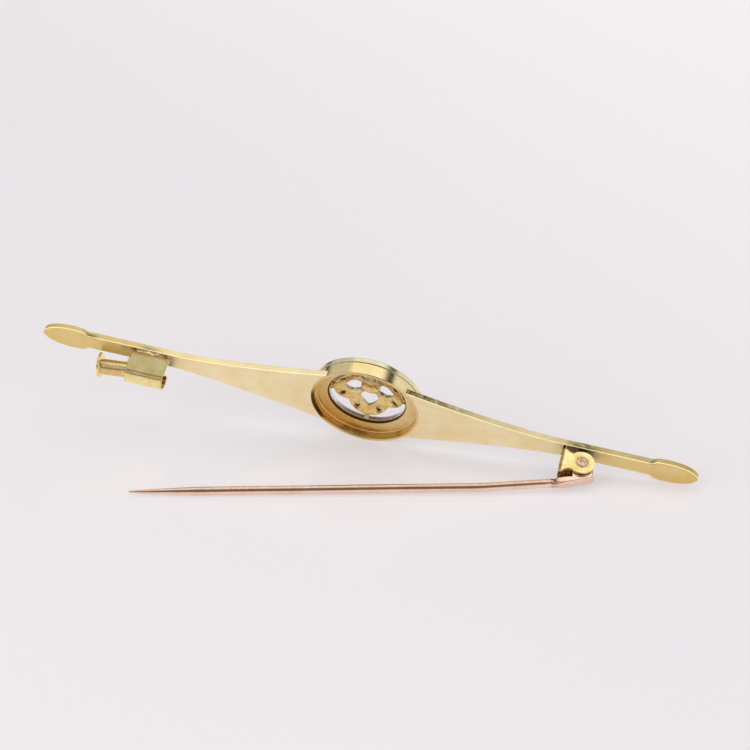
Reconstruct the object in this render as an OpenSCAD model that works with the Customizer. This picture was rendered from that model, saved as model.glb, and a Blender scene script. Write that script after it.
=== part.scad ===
// Bar brooch of about 1905, resting on its back rim, one bar end and its open pin.
// Every piece is drawn in the brooch's own axes and then laid down by at_rest():
// x runs along the bar towards the hinge, y across it, z out of the back.

/* [Bar] */
// Length of the bar over both ends
bar_length = 66; // [56:0.5:76]
// Thickness of the bar
bar_thickness = 0.62; // [0.4:0.02:0.9]
// Width of the bar where the blades leave the medallion
blade_root_width = 6.8; // [5.5:0.1:8]
// Distance from the centre to where that width is measured
blade_root_x = 5.5; // [5.3:0.1:6]
// Distance from the centre to where the blades end in the neck
blade_end_x = 20; // [15:0.5:22]
// How sharply the blades flare, 1 being a straight taper
blade_flare = 1.5; // [1:0.1:2]
// Width of the neck between a blade and its terminal
neck_width = 1.95; // [1.4:0.05:2.5]
// Length of each spoon-shaped terminal
terminal_length = 4.7; // [3.5:0.1:6]
// Greatest width of a terminal
terminal_width = 2.95; // [2.2:0.05:3.6]
// Distance from a terminal's tip to its widest place
terminal_belly = 2.9; // [2:0.1:3.4]

/* [Medallion] */
// Outer diameter of the medallion cup
cup_diameter = 10.84; // [9.8:0.02:12]
// Thickness of the cup's wall
cup_wall = 0.3; // [0.2:0.02:0.5]
// Height of the cup's rim above the back of the bar
cup_rim_height = 0.38; // [0.1:0.02:0.8]
// Depth from the back of the bar to the ledge at the cup's wall
ledge_depth = 0.5; // [0.3:0.02:0.7]
// How much deeper the ledge lies at its inner edge
ledge_slope = 0.3; // [0:0.02:0.4]
// Diameter of the open centre
opening_diameter = 7.72; // [7:0.02:8.4]
// Depth from the back of the bar to the front of the gold cup
cup_front_depth = 1; // [0.9:0.02:1.4]
// Thickness of the white metal ring on the front
front_ring_thickness = 0.56; // [0.3:0.02:0.8]
// How far the front ring stands out past the cup
front_ring_overhang = 0.08; // [0:0.01:0.2]

/* [Openwork] */
// Thickness of the pierced ornament
openwork_thickness = 0.5; // [0.4:0.02:0.8]
// Depth of the ornament's back at its edge
openwork_edge_depth = 1.08; // [1:0.02:1.4]
// How far the ornament domes towards the front
openwork_dome = 1.15; // [0.5:0.05:1.3]
// Distance from the centre to the tip of each of the four lobes
lobe_reach = 3.6; // [3.2:0.02:3.7]
// Distance from the centre to the notch between two lobes
lobe_notch = 2.9; // [2.5:0.02:3]
// Width of the tabs that join the lobes to the ring
tab_width = 0.5; // [0.3:0.02:0.8]
// Distance from the centre to the tip of a lobe's opening
window_tip = 2.6; // [2.3:0.02:2.7]
// Distance from the centre to the near edge of that opening
window_start = 0.95; // [0.88:0.01:1.1]
// Half width of that opening at its widest
window_half_width = 0.94; // [0.7:0.01:1]
// Least width of the diagonal struts between the openings
strut_width = 0.32; // [0.2:0.02:0.6]
// Width of the rim that is caught between the cup and the front ring
seat_width = 0.7; // [0.4:0.05:0.9]
// Thickness of that rim
seat_thickness = 0.2; // [0.15:0.01:0.25]

/* [Stones] */
// Diameter of the centre stone
centre_stone_diameter = 1.9; // [1.6:0.02:2.1]
// Outer diameter of the centre collet at the back
collet_back_diameter = 1.66; // [1.5:0.02:1.7]
// Wall of the centre collet round the stone
collet_wall = 0.2; // [0.15:0.01:0.3]
// Diameter of each small stone
small_stone_diameter = 0.84; // [0.7:0.01:0.9]
// Distance from the centre to the small stones
small_stone_ring = 2.86; // [2.75:0.01:2.9]
// Diameter of the drilled hole behind each small stone
small_stone_hole = 0.44; // [0.3:0.01:0.5]
// How far each small stone stands out of its seat
small_stone_rise = 0.12; // [0.08:0.01:0.2]

/* [Hinge] */
// Distance from the bar's end to the rivet
rivet_from_end = 11.15; // [9:0.05:13]
// Height of the rivet above the back of the bar
rivet_height = 1.6; // [1.5:0.02:2]
// Diameter of the rivet's shank
rivet_diameter = 0.6; // [0.4:0.02:0.7]
// Diameter of the rivet's heads
rivet_head_diameter = 1; // [0.85:0.01:1.1]
// Thickness of the rivet's heads
rivet_head_height = 0.12; // [0.08:0.01:0.2]
// Radius of the round end of each ear
ear_radius = 1.25; // [1.1:0.01:1.4]
// Width of the bracket over both ears
bracket_width = 1.84; // [1.7:0.02:2.2]
// Thickness of the bracket's sheet
bracket_sheet = 0.32; // [0.25:0.01:0.36]
// Distance from the rivet to the outside of the bracket's web
web_distance = 2.1; // [1.95:0.02:2.4]
// Height of the web between the ears
web_height = 2.58; // [2.2:0.02:2.64]
// Height of the ears' flared tails
tail_height = 3.13; // [2.9:0.02:3.3]

/* [Pin] */
// Diameter of the pin's wire
pin_diameter = 0.83; // [0.7:0.01:0.9]
// Distance from the rivet's axis to the middle of the wire
pin_offset = 1.58; // [1.54:0.01:1.7]
// Angle between the bar and the wire beside the hinge, as it rests
pin_rest_angle = 19.4; // [15:0.1:24]
// Angle by which the wire bends back towards the bar
pin_bend = 3; // [0:0.1:5]
// Length of wire from the rivet to the bend
pin_bend_at = 10; // [6:0.5:14]
// How far the point reaches past the catch's near end
pin_in_catch = 1.4; // [0.8:0.05:3]
// Length of the sharpened point
pin_taper = 6.5; // [3:0.5:10]
// Diameter of the point's end
pin_tip_diameter = 0.16; // [0.1:0.01:0.3]
// Length of the flattened block under the hinge, to the left of the rivet
block_length = 2.5; // [1.5:0.1:4]
// How far that block runs past the rivet
block_tail = 1.05; // [0.9:0.05:1.4]
// How much the block thins towards that end
block_thinning = 0.42; // [0:0.02:0.5]
// Height of the block
block_height = 0.84; // [0.7:0.02:0.9]
// Radius of the pin's eye round the rivet
eye_radius = 0.85; // [0.7:0.01:0.95]

/* [Catch] */
// Distance from the bar's end to the catch's near end
catch_from_end = 12.8; // [11:0.05:14.5]
// Length of the catch
catch_length = 3.75; // [3:0.05:4.5]
// Thickness of the catch's sheet
catch_sheet = 0.16; // [0.1:0.01:0.25]
// Place across the bar where the catch's wall is soldered
catch_root_y = 0.52; // [0.3:0.01:0.7]
// Angle by which the wall leans over the bar
catch_lean = 34; // [25:1:40]
// Length of the flat wall up to the roll
catch_wall_length = 2.16; // [1.9:0.02:2.5]
// Inner radius of the roll that holds the slider
catch_roll_radius = 0.98; // [0.95:0.01:1.1]
// Angle that the roll wraps
catch_wrap = 195; // [170:1:205]
// How much shorter the wall is soldered than the catch is long, at its far end
catch_root_cut = 0.4; // [0:0.05:0.8]
// How much further the wall's root runs than the roll, at its near end
catch_root_lead = 0.4; // [0:0.05:0.6]

/* [Slider] */
// Outer diameter of the sliding tube
slider_diameter = 1.6; // [1.3:0.01:1.62]
// Bore of the sliding tube
slider_bore = 1.2; // [0.9:0.01:1.3]
// How far the tube stands out of the catch
slider_out = 2.62; // [1:0.02:3.2]
// Length of tube that stays inside the catch
slider_hold = 0.7; // [0.5:0.05:0.8]
// Angle at which the worn tube droops out of the catch
slider_droop = 5.5; // [0:0.1:6]
// Diameter of the slider's knob
knob_diameter = 2.6; // [2.2:0.02:3]
// Thickness of the knob
knob_thickness = 0.36; // [0.2:0.02:0.6]
// How far the knob is soldered off the tube's middle
knob_offset = 0.14; // [0:0.02:0.3]

/* [Clearances] */
// Gap between pieces that are set into each other
setting_gap = 0.02; // [0.01:0.01:0.03]
// Gap between the point of the centre stone and the ornament
culet_gap = 0.05; // [0.03:0.01:0.2]
// Gap all round the rivet in the ears
rivet_gap = 0.02; // [0.01:0.01:0.03]
// Running gap between the rivet and the pin's eye
eye_gap = 0.04; // [0.02:0.01:0.06]
// Gap between the pin's eye and each ear
side_gap = 0.07; // [0.04:0.01:0.1]

/* [Hidden] */
$fn = 48;
SMALL_STONES = 8;

GOLD = "#d9bf84";
ROSE_GOLD = "#cfa287";
WHITE_METAL = "#d8d2c4";
STONE = "#eef3f5";

// Bar: half sizes and the outline's resolution
half_length = bar_length / 2;
neck_end_x = half_length - terminal_length;
BLADE_STEPS = 12;
TERMINAL_STEPS = 20;
terminal_neck_belly = terminal_belly * 1.15;

// Medallion
cup_radius = cup_diameter / 2;
cup_inner_radius = cup_radius - cup_wall;
rim_round = cup_wall * 0.3;
opening_radius = opening_diameter / 2;
front_ring_radius = cup_radius + front_ring_overhang;
front_ring_back = cup_front_depth + setting_gap;
front_ring_front = front_ring_back + front_ring_thickness;
front_bevel = front_ring_thickness * 0.18;

// Openwork: a shell between two spheres that share a centre
dome_radius = (opening_radius * opening_radius + openwork_dome * openwork_dome) / (2 * openwork_dome);
dome_centre_z = dome_radius - openwork_edge_depth - openwork_dome;
lobe_centre = (lobe_notch * lobe_notch - lobe_reach * lobe_reach)
    / (2 * (lobe_notch / sqrt(2) - lobe_reach));
lobe_radius = lobe_reach - lobe_centre;
window_belly = window_start + (window_tip - window_start) * 0.27;
window_run = window_tip - window_belly;
window_arc = (window_half_width * window_half_width + window_run * window_run) / (2 * window_half_width);

// Stones: heights as shares of a stone's diameter, in the usual cut
CROWN_SHARE = 0.16;
PAVILION_SHARE = 0.42;
TABLE_SHARE = 0.56;
STONE_FACETS = 8;
dome_front_z = dome_centre_z - dome_radius - openwork_thickness;
small_stone_tilt = asin(small_stone_ring / (dome_radius + openwork_thickness));
COLLET_LIP_SHARE = 0.1;
collet_height = centre_stone_diameter * (PAVILION_SHARE + COLLET_LIP_SHARE) + culet_gap;
collet_front_z = dome_front_z - collet_height;
centre_girdle_z = collet_front_z + centre_stone_diameter * COLLET_LIP_SHARE;
claw_radius = 0.16;
claw_height = 0.42;
claw_reach = (centre_stone_diameter / 2 + collet_wall - claw_radius / 2) / sqrt(2);

// Hinge and pin
rivet_x = half_length - rivet_from_end;
rivet_radius = rivet_diameter / 2;
ear_hole_radius = rivet_radius + rivet_gap;
eye_hole_radius = rivet_radius + eye_gap;
ear_gap = bracket_width - 2 * bracket_sheet;
eye_width = ear_gap - 2 * side_gap;
// Ear: its tail starts above the bar, and round notches above and below make its neck
tail_start = 0.5;
neck_notch_x = 1;
upper_notch_radius = 0.78;
upper_notch_out = 0.22;
lower_notch_radius = 0.72;
lower_notch_out = 0.45;
neck_half_height = 0.9;
pin_radius = pin_diameter / 2;
block_near = pin_offset - block_height / 2;
pin_angle_end = pin_rest_angle - pin_bend;
catch_x = half_length - catch_from_end;
pin_reach = rivet_x + catch_x - pin_bend_at + pin_in_catch;
pin_straight = pin_reach - pin_taper;
pin_tip_radius = pin_tip_diameter / 2;
// Rows of radius and distance from the bend, down to the blunt point
pin_profile = [
    [pin_radius, 0],
    [pin_radius, pin_straight],
    [pin_radius * 0.62, pin_reach - pin_taper * 0.3],
    [pin_tip_radius, pin_reach - pin_tip_radius],
    [pin_tip_radius * 0.6, pin_reach]];

// Catch and slider: the roll is tangent to the leaning wall
catch_far_x = -catch_x - catch_length;
roll_mid_radius = catch_roll_radius + catch_sheet / 2;
wall_end = [catch_root_y - catch_wall_length * sin(catch_lean), catch_wall_length * cos(catch_lean)];
roll_centre = wall_end - (catch_roll_radius + catch_sheet) * [cos(catch_lean), sin(catch_lean)];
slider_radius = slider_diameter / 2;
slider_tube_length = (slider_out + slider_hold) / cos(slider_droop);
slider_travel = slider_out - 0.12;
// The tube is centred in the roll halfway between its two end positions
slider_pivot_x = catch_far_x - (slider_travel - slider_hold) / 2;
// The worn tube droops away from the bar, as the wall leans and a little more
droop_turn = catch_lean + 3.2;
droop_way = [0, -sin(droop_turn), cos(droop_turn)];

// Places in the brooch's own axes that the part rests on, for a given upward direction
function rim_low(up) =
    [0, 0, cup_rim_height - rim_round] - cup_radius * [up[0], up[1], 0] / norm([up[0], up[1]]);
function terminal_low(up) =
    let (a = terminal_belly, b = terminal_width / 2)
    [half_length - a, 0, 0] - [a * a * up[0], b * b * up[1], 0] / norm([a * up[0], b * up[1]]);
pin_way = [-cos(pin_angle_end), 0, sin(pin_angle_end)];
pin_bend_point =
    [rivet_x, 0, rivet_height]
    + pin_offset * [sin(pin_rest_angle), 0, cos(pin_rest_angle)]
    + pin_bend_at * [-cos(pin_rest_angle), 0, sin(pin_rest_angle)];
// Lowest point of the wire's round section at one of the profile's [radius, distance] rows
function section_low(row, up) =
    let (down = up - (up * pin_way) * pin_way)
    pin_bend_point + row[1] * pin_way - row[0] * down / norm(down);
function lowest(points, up) =
    let (heights = [for (p = points) up * p])
    points[search(min(heights), heights)[0]];
function pin_low(up) = lowest([for (row = pin_profile) section_low(row, up)], up);

// The upward direction, in the brooch's own axes, of the plane under those three places
function plane_up(up) = let (n = cross(terminal_low(up) - rim_low(up), pin_low(up) - rim_low(up))) -n / norm(n);
function settled_up(up, rounds) = rounds == 0 ? up : settled_up(plane_up(up), rounds - 1);
up_z = settled_up([-0.12, 0.88, -0.46], 12);
up_x = let (v = [1, 0, 0] - up_z[0] * up_z) v / norm(v);
up_y = cross(up_z, up_x);

// The origin is the middle of the bottom of the resting part's box
reach_left = up_x * [-half_length, 0, 0];
reach_right = up_x * [half_length, 0, 0];
reach_near = up_y * (pin_bend_point + pin_reach * pin_way);
reach_far = max(
    up_y * [0, -front_ring_radius, front_bevel - front_ring_front],
    up_y * [0, 0, collet_front_z - claw_height + 2 * claw_radius] - claw_reach * up_y[1] + claw_radius);
rest_shift = [-(reach_left + reach_right) / 2, -(reach_near + reach_far) / 2, -(up_z * rim_low(up_z))];

module at_rest() {
    multmatrix([
        [up_x[0], up_x[1], up_x[2], rest_shift[0]],
        [up_y[0], up_y[1], up_y[2], rest_shift[1]],
        [up_z[0], up_z[1], up_z[2], rest_shift[2]],
        [0, 0, 0, 1]])
        children();
}

// Bar: half its width at a distance from the centre, blade then neck
function blade_half_width(x) =
    x >= blade_end_x ? neck_width / 2
    : (neck_width + (blade_root_width - neck_width)
        * pow((blade_end_x - x) / (blade_end_x - blade_root_x), blade_flare)) / 2;
// Terminal: two half ellipses of one width, the inner one cut off at the neck
function terminal_point(t) =
    let (a = t < 90 ? terminal_belly : terminal_neck_belly)
    [half_length - terminal_belly + a * cos(t), terminal_width / 2 * sin(t)];
terminal_last = acos(-(terminal_length - terminal_belly) / terminal_neck_belly);

module wing_outline() {
    upper = concat(
        [for (i = [0 : BLADE_STEPS])
            let (x = cup_inner_radius * 0.85 + (blade_end_x - cup_inner_radius * 0.85) * i / BLADE_STEPS)
            [x, blade_half_width(x)]],
        [[neck_end_x, neck_width / 2]],
        [for (i = [TERMINAL_STEPS : -1 : 0]) terminal_point(terminal_last * i / TERMINAL_STEPS)]);
    lower = [for (i = [len(upper) - 2 : -1 : 0]) [upper[i][0], -upper[i][1]]];
    polygon(concat(upper, lower));
}

module bar() {
    difference() {
        for (side = [0, 1])
            mirror([side, 0, 0])
                translate([0, 0, -bar_thickness])
                    linear_extrude(bar_thickness) wing_outline();
        translate([0, 0, -2 * bar_thickness])
            cylinder(r = cup_radius - cup_wall / 2, h = 3 * bar_thickness);
    }
}

// Cup: a turned profile of wall, ledge and open centre
module cup() {
    rotate_extrude()
        polygon([
            [cup_inner_radius, cup_rim_height - rim_round],
            [cup_inner_radius + rim_round, cup_rim_height],
            [cup_radius - rim_round, cup_rim_height],
            [cup_radius, cup_rim_height - rim_round],
            [cup_radius, -cup_front_depth],
            [opening_radius, -cup_front_depth],
            [opening_radius, -ledge_depth - ledge_slope],
            [cup_inner_radius, -ledge_depth]]);
}

// Hinge bracket: a U of sheet with rounded folds, cut to the shape of its ears
module bracket_plan() {
    fold = bracket_sheet * 1.1;
    depth = web_distance + ear_radius;
    translate([-web_distance, 0])
        difference() {
            union() {
                translate([fold, -bracket_width / 2]) square([depth - fold, bracket_width]);
                translate([0, fold - bracket_width / 2]) square([depth, bracket_width - 2 * fold]);
                for (y = [-1, 1]) translate([fold, y * (bracket_width / 2 - fold)]) circle(fold);
            }
            translate([bracket_sheet, -ear_gap / 2]) square([depth, ear_gap]);
        }
}

module ear_outline() {
    circle(ear_radius);
    difference() {
        translate([-web_distance, tail_start - rivet_height])
            square([web_distance, tail_height - tail_start]);
        translate([-neck_notch_x, tail_height - rivet_height + upper_notch_out])
            circle(upper_notch_radius);
        translate([-neck_notch_x, tail_start - rivet_height - lower_notch_out])
            circle(lower_notch_radius);
        for (side = [0, 1]) mirror([0, side])
            translate([-neck_notch_x, neck_half_height]) square(2 * neck_notch_x);
    }
}

module hinge_bracket() {
    translate([rivet_x, 0, 0]) {
        difference() {
            intersection() {
                linear_extrude(tail_height) bracket_plan();
                translate([0, bracket_width, rivet_height])
                    rotate([90, 0, 0])
                        linear_extrude(2 * bracket_width) ear_outline();
            }
            translate([-2 * web_distance, -ear_gap / 2, web_height])
                cube([4 * web_distance, ear_gap, tail_height]);
        }
        // Web: soldered to the bar, and low between the ears so that the pin closes over it
        difference() {
            translate([0, 0, -bar_thickness / 2])
                linear_extrude(web_height + bar_thickness / 2) bracket_plan();
            translate([bracket_sheet - web_distance, -bracket_width, -bar_thickness])
                cube([2 * web_distance, 2 * bracket_width, 2 * web_height]);
        }
    }
}

module rivet_bore(radius) {
    translate([rivet_x, 0, rivet_height])
        rotate([90, 0, 0])
            cylinder(r = radius, h = 2 * bracket_width, center = true);
}

// Catch: a leaning wall of sheet that rolls over into an open sleeve
module catch_profile() {
    wall_foot = [catch_root_y, 0] - 0.6 * bar_thickness * [-sin(catch_lean), cos(catch_lean)];
    translate(wall_foot)
        rotate(90 + catch_lean)
            square([catch_wall_length + 0.6 * bar_thickness, catch_sheet]);
    translate(roll_centre)
        difference() {
            circle(catch_roll_radius + catch_sheet);
            circle(catch_roll_radius);
            rotate(catch_lean + catch_wrap - 360) square([3 * roll_mid_radius, 3 * roll_mid_radius]);
            rotate(catch_lean - 90) square([3 * roll_mid_radius, 3 * roll_mid_radius]);
        }
}

module catch_sleeve() {
    difference() {
        translate([catch_far_x, 0, 0])
            rotate([90, 0, 90])
                linear_extrude(catch_length + catch_root_lead) catch_profile();
        // The near end is cut square across the roll and slants out to the wall's root
        translate([-catch_x, 2 * catch_wall_length, 0])
            rotate([90, 0, 0])
                linear_extrude(4 * catch_wall_length)
                    polygon([
                        [0, 3 * catch_wall_length], [0, wall_end[1]], [catch_root_lead, 0],
                        [catch_root_lead, -bar_thickness], [2 * catch_root_lead + 1, -bar_thickness],
                        [2 * catch_root_lead + 1, 3 * catch_wall_length]]);
        // The far end of the wall is cut back towards its root
        translate([catch_far_x, -bar_thickness, 0])
            rotate([0, 20, 0])
                translate([-2, 0, -1.5])
                    cube([2, 3, 1.5 + catch_wall_length / 2]);
    }
}

// Solder: a bead along the root of the catch and of the hinge
CATCH_BEAD = 0.17;
HINGE_BEAD = 0.14;
module solder_bead(length, radius) {
    rotate([0, 90, 0]) cylinder(r = radius, h = length, center = true);
    for (end = [-1, 1]) translate([end * length / 2, 0, 0]) sphere(radius);
}

module gold_frame() {
    color(GOLD) difference() {
        union() {
            bar();
            cup();
            hinge_bracket();
            catch_sleeve();
            translate([-catch_x - catch_length / 2 + catch_root_cut / 2, catch_root_y - CATCH_BEAD / 2, -0.02])
                solder_bead(catch_length - 2 * catch_root_cut, CATCH_BEAD);
            translate([rivet_x - web_distance, 0, -0.02])
                rotate([0, 0, 90]) solder_bead(bracket_width * 0.7, HINGE_BEAD);
        }
        rivet_bore(ear_hole_radius);
    }
}

// Front ring: a bevelled ring of white metal, recessed for the ornament's rim
module front_ring() {
    color(WHITE_METAL)
        rotate_extrude()
            polygon([
                [opening_radius + seat_width + setting_gap, -front_ring_back],
                [front_ring_radius, -front_ring_back],
                [front_ring_radius, -front_ring_front + front_bevel],
                [front_ring_radius - front_bevel, -front_ring_front],
                [opening_radius + front_bevel, -front_ring_front],
                [opening_radius, -front_ring_front + front_bevel / 2],
                [opening_radius, -front_ring_back - seat_thickness - setting_gap],
                [opening_radius + seat_width + setting_gap, -front_ring_back - seat_thickness - setting_gap]]);
}

// One opening of the ornament, a shield with its point outwards
module window() {
    intersection() {
        translate([window_belly, window_half_width - window_arc]) circle(window_arc);
        translate([window_belly, window_arc - window_half_width]) circle(window_arc);
        translate([window_start, -window_half_width])
            square([window_tip - window_start, 2 * window_half_width]);
        translate([strut_width / sqrt(2), 0]) rotate(-45) square(window_tip * 2);
    }
}

module openwork_outline() {
    difference() {
        union() {
            for (a = [0 : 90 : 270]) rotate(a) {
                translate([lobe_centre, 0]) circle(lobe_radius);
                translate([lobe_centre, -tab_width / 2])
                    square([opening_radius + seat_width / 2 - lobe_centre, tab_width]);
            }
        }
        for (a = [0 : 90 : 270]) rotate(a) window();
    }
}

module at_small_stone(i) {
    rotate(45 * i - 22.5)
        translate([0, 0, dome_centre_z])
            rotate([0, 180 - small_stone_tilt, 0])
                translate([0, 0, dome_radius + openwork_thickness])
                    children();
}

module openwork() {
    seat_back = -cup_front_depth - setting_gap;
    ornament_depth = openwork_edge_depth + openwork_dome + openwork_thickness + 1;
    color(GOLD) difference() {
        union() {
            intersection() {
                translate([0, 0, -ornament_depth]) linear_extrude(ornament_depth) openwork_outline();
                difference() {
                    translate([0, 0, dome_centre_z]) sphere(dome_radius + openwork_thickness);
                    translate([0, 0, dome_centre_z]) sphere(dome_radius);
                }
                translate([0, 0, -ornament_depth])
                    cylinder(r = opening_radius - setting_gap, h = ornament_depth);
            }
            // Tabs run out into the rim that the front ring holds
            for (a = [0 : 90 : 270]) rotate(a)
                translate([lobe_reach - 0.3, -tab_width / 2, seat_back - seat_thickness])
                    cube([opening_radius + seat_width / 2 - lobe_reach + 0.3, tab_width, seat_thickness]);
            for (a = [0 : 90 : 270]) rotate(a)
                translate([lobe_reach - 0.25, -tab_width / 2, -openwork_edge_depth - openwork_thickness / 2])
                    cube([opening_radius - setting_gap - lobe_reach + 0.25, tab_width,
                        openwork_thickness / 2]);
            translate([0, 0, seat_back - seat_thickness])
                difference() {
                    cylinder(r = opening_radius + seat_width, h = seat_thickness);
                    translate([0, 0, -1]) cylinder(r = opening_radius, h = 2);
                }
            // Closed back of the centre setting
            translate([0, 0, dome_front_z])
                cylinder(d = collet_back_diameter, h = openwork_thickness + 0.1);
        }
        for (i = [1 : SMALL_STONES]) at_small_stone(i) {
            cylinder(d = small_stone_hole, h = 3 * openwork_thickness, center = true);
            small_stone_seat();
        }
    }
}

// Seat of a small stone: a cone under the girdle and a straight wall above it
module small_stone_seat() {
    seat = small_stone_diameter / 2 + setting_gap;
    depth = small_stone_diameter * PAVILION_SHARE - small_stone_rise;
    translate([0, 0, -depth - 0.05]) cylinder(r1 = 0.05, r2 = seat, h = depth + 0.05);
    cylinder(r = seat, h = openwork_thickness);
}

// Centre collet: a tapered cup of white metal with four small claws
module centre_collet() {
    outer = centre_stone_diameter / 2 + collet_wall;
    base = -dome_front_z + setting_gap;
    mouth = -collet_front_z;
    color(WHITE_METAL) mirror([0, 0, 1]) difference() {
        union() {
            translate([0, 0, base])
                cylinder(r1 = collet_back_diameter / 2, r2 = outer, h = mouth - base);
            for (a = [45 : 90 : 315]) rotate(a)
                translate([outer - claw_radius / 2, 0, mouth - 2 * claw_radius]) {
                    cylinder(r = claw_radius, h = claw_height);
                    translate([0, 0, claw_height]) sphere(claw_radius);
                }
        }
        translate([0, 0, -centre_girdle_z - 0.06])
            cylinder(d = centre_stone_diameter + 2 * setting_gap, h = 2);
        translate([0, 0, -centre_girdle_z - centre_stone_diameter * PAVILION_SHARE - 0.06])
            cylinder(d1 = 0.1, d2 = centre_stone_diameter + 2 * setting_gap,
                h = centre_stone_diameter * PAVILION_SHARE);
    }
}

// Cut stone, girdle at z = 0 and table upwards: eight mains and eight halves on crown and pavilion
module cut_stone(diameter) {
    n = STONE_FACETS;
    r = diameter / 2;
    crown = diameter * CROWN_SHARE;
    pavilion = diameter * PAVILION_SHARE;
    girdle = diameter * 0.02;
    ring = function (radius, z, turn, count)
        [for (i = [0 : count - 1]) [radius * cos(360 * (i + turn) / count), radius * sin(360 * (i + turn) / count), z]];
    points = concat(
        ring(r * TABLE_SHARE, crown, 0.5, n),
        ring(r * (TABLE_SHARE + 1) / 2, crown * 0.6, 0, n),
        ring(r, girdle, 0, 2 * n),
        ring(r, -girdle, 0, 2 * n),
        [[0, 0, -pavilion]]);
    table = 0;
    star = n;
    top = 2 * n;
    low = 4 * n;
    tip = 6 * n;
    faces = concat(
        [[for (i = [n - 1 : -1 : 0]) table + i]],
        [for (i = [0 : n - 1]) [table + i, table + (i + 1) % n, star + (i + 1) % n]],
        [for (i = [0 : n - 1]) [star + i, table + i, top + 2 * i + 1]],
        [for (i = [0 : n - 1]) [table + i, star + (i + 1) % n, top + 2 * i + 1]],
        [for (i = [0 : n - 1]) [star + i, top + 2 * i + 1, top + 2 * i]],
        [for (i = [0 : n - 1]) [star + i, top + 2 * i, top + (2 * i + 2 * n - 1) % (2 * n)]],
        [for (i = [0 : 2 * n - 1]) let (j = (i + 1) % (2 * n)) [top + i, top + j, low + j, low + i]],
        [for (i = [0 : 2 * n - 1]) [low + i, low + (i + 1) % (2 * n), tip]]);
    polyhedron(points, faces, convexity = 2);
}

module centre_stone() {
    color(STONE)
        translate([0, 0, centre_girdle_z])
            mirror([0, 0, 1])
                cut_stone(centre_stone_diameter - 2 * setting_gap);
}

module lobe_stone(i) {
    color(STONE)
        at_small_stone(i)
            translate([0, 0, small_stone_rise + 0.02])
                cut_stone(small_stone_diameter - 2 * setting_gap);
}

// Rivet: a shank with a flat round head outside each ear
module hinge_rivet() {
    reach = bracket_width / 2 + setting_gap;
    color(ROSE_GOLD)
        translate([rivet_x, 0, rivet_height])
            rotate([90, 0, 0]) {
                cylinder(r = rivet_radius, h = 2 * reach + rivet_head_height, center = true);
                for (side = [0, 1]) mirror([0, 0, side])
                    translate([0, 0, reach])
                        cylinder(d1 = rivet_head_diameter, d2 = rivet_head_diameter * 0.8,
                            h = rivet_head_height);
            }
}

// Pin: drawn about the rivet with the wire along -x, then opened to its resting angle
module pin_wire() {
    block_overlap = 0.4;
    translate([-pin_bend_at, 0, pin_offset]) {
        difference() {
            translate([-pin_diameter, 0, 0])
                rotate([0, 90, 0])
                    cylinder(r = pin_radius, h = pin_bend_at - block_length + block_overlap + pin_diameter);
            bend_cut(-1);
        }
        // Wire from the bend on, turned in one profile down to its blunt point
        difference() {
            rotate([0, -pin_bend - 90, 0])
                rotate_extrude()
                    polygon(concat(
                        [[0, pin_reach], [0, -pin_diameter], [pin_radius, -pin_diameter]],
                        [for (i = [1 : len(pin_profile) - 1]) pin_profile[i]]));
            bend_cut(1);
        }
    }
}

// Block that cuts a wire off along the mitre plane of the bend, on one side of it
module bend_cut(side) {
    size = 4 * pin_diameter;
    rotate([0, -pin_bend / 2, 0])
        translate([side * size / 2, 0, 0])
            cube(size, center = true);
}

module pin_eye() {
    rotate([90, 0, 0]) {
        cylinder(r = eye_radius, h = eye_width, center = true);
        linear_extrude(eye_width, center = true)
            polygon([
                [-eye_radius * 0.8, -eye_radius * 0.1], [eye_radius * 0.8, -eye_radius * 0.1],
                [block_tail * 0.85, block_near + block_height * 0.3],
                [-block_length * 0.45, block_near + block_height * 0.3]]);
        // Block: straight towards the hinge, thinner towards its tail on the other side
        linear_extrude(eye_width, center = true)
            polygon([
                [-block_length, block_near], [block_tail, block_near],
                [block_tail, block_near + block_height - block_thinning],
                [-block_length, block_near + block_height]]);
    }
}

module pin() {
    color(ROSE_GOLD) difference() {
        translate([rivet_x, 0, rivet_height])
            rotate([0, pin_rest_angle, 0]) {
                pin_wire();
                pin_eye();
            }
        rivet_bore(eye_hole_radius);
    }
}

// Slider: a tube with a rimmed knob, drooping in the worn catch
module catch_slider() {
    back = slider_pivot_x - (catch_far_x - slider_out);
    color(GOLD)
        translate([slider_pivot_x, roll_centre[0], roll_centre[1]])
            rotate(a = slider_droop, v = cross([-1, 0, 0], droop_way))
                rotate([0, 90, 0])
                    translate([0, 0, -back / cos(slider_droop)]) {
                        difference() {
                            cylinder(r = slider_radius, h = slider_tube_length);
                            translate([0, 0, knob_thickness])
                                cylinder(d = slider_bore, h = slider_tube_length);
                        }
                        knob();
                    }
}

module knob() {
    dish = knob_thickness * 0.35;
    rim = knob_diameter * 0.12;
    translate([knob_offset * cos(droop_turn), knob_offset * sin(droop_turn), -knob_thickness])
        difference() {
            cylinder(d = knob_diameter, h = knob_thickness + 0.02);
            translate([0, 0, -0.01]) cylinder(d = knob_diameter - 2 * rim, h = dish);
        }
}

at_rest() gold_frame();
at_rest() front_ring();
at_rest() openwork();
at_rest() centre_collet();
at_rest() centre_stone();
for (i = [1 : SMALL_STONES])
    at_rest() lobe_stone(i);
at_rest() hinge_rivet();
at_rest() pin();
at_rest() catch_slider();
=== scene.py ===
"""Bar brooch seen from its back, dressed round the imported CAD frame.

Sizes are in millimetres in the brooch's own axes: x along the bar to the hinge, y across it,
z out of the back. to_frame() lays them down as the brooch rests and turns them into metres.
"""

import logging
import math
from dataclasses import dataclass
from enum import Enum
from typing import Callable, Sequence

import bmesh
import bpy
import numpy as np
from mathutils import Matrix
from mathutils.geometry import delaunay_2d_cdt


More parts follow.
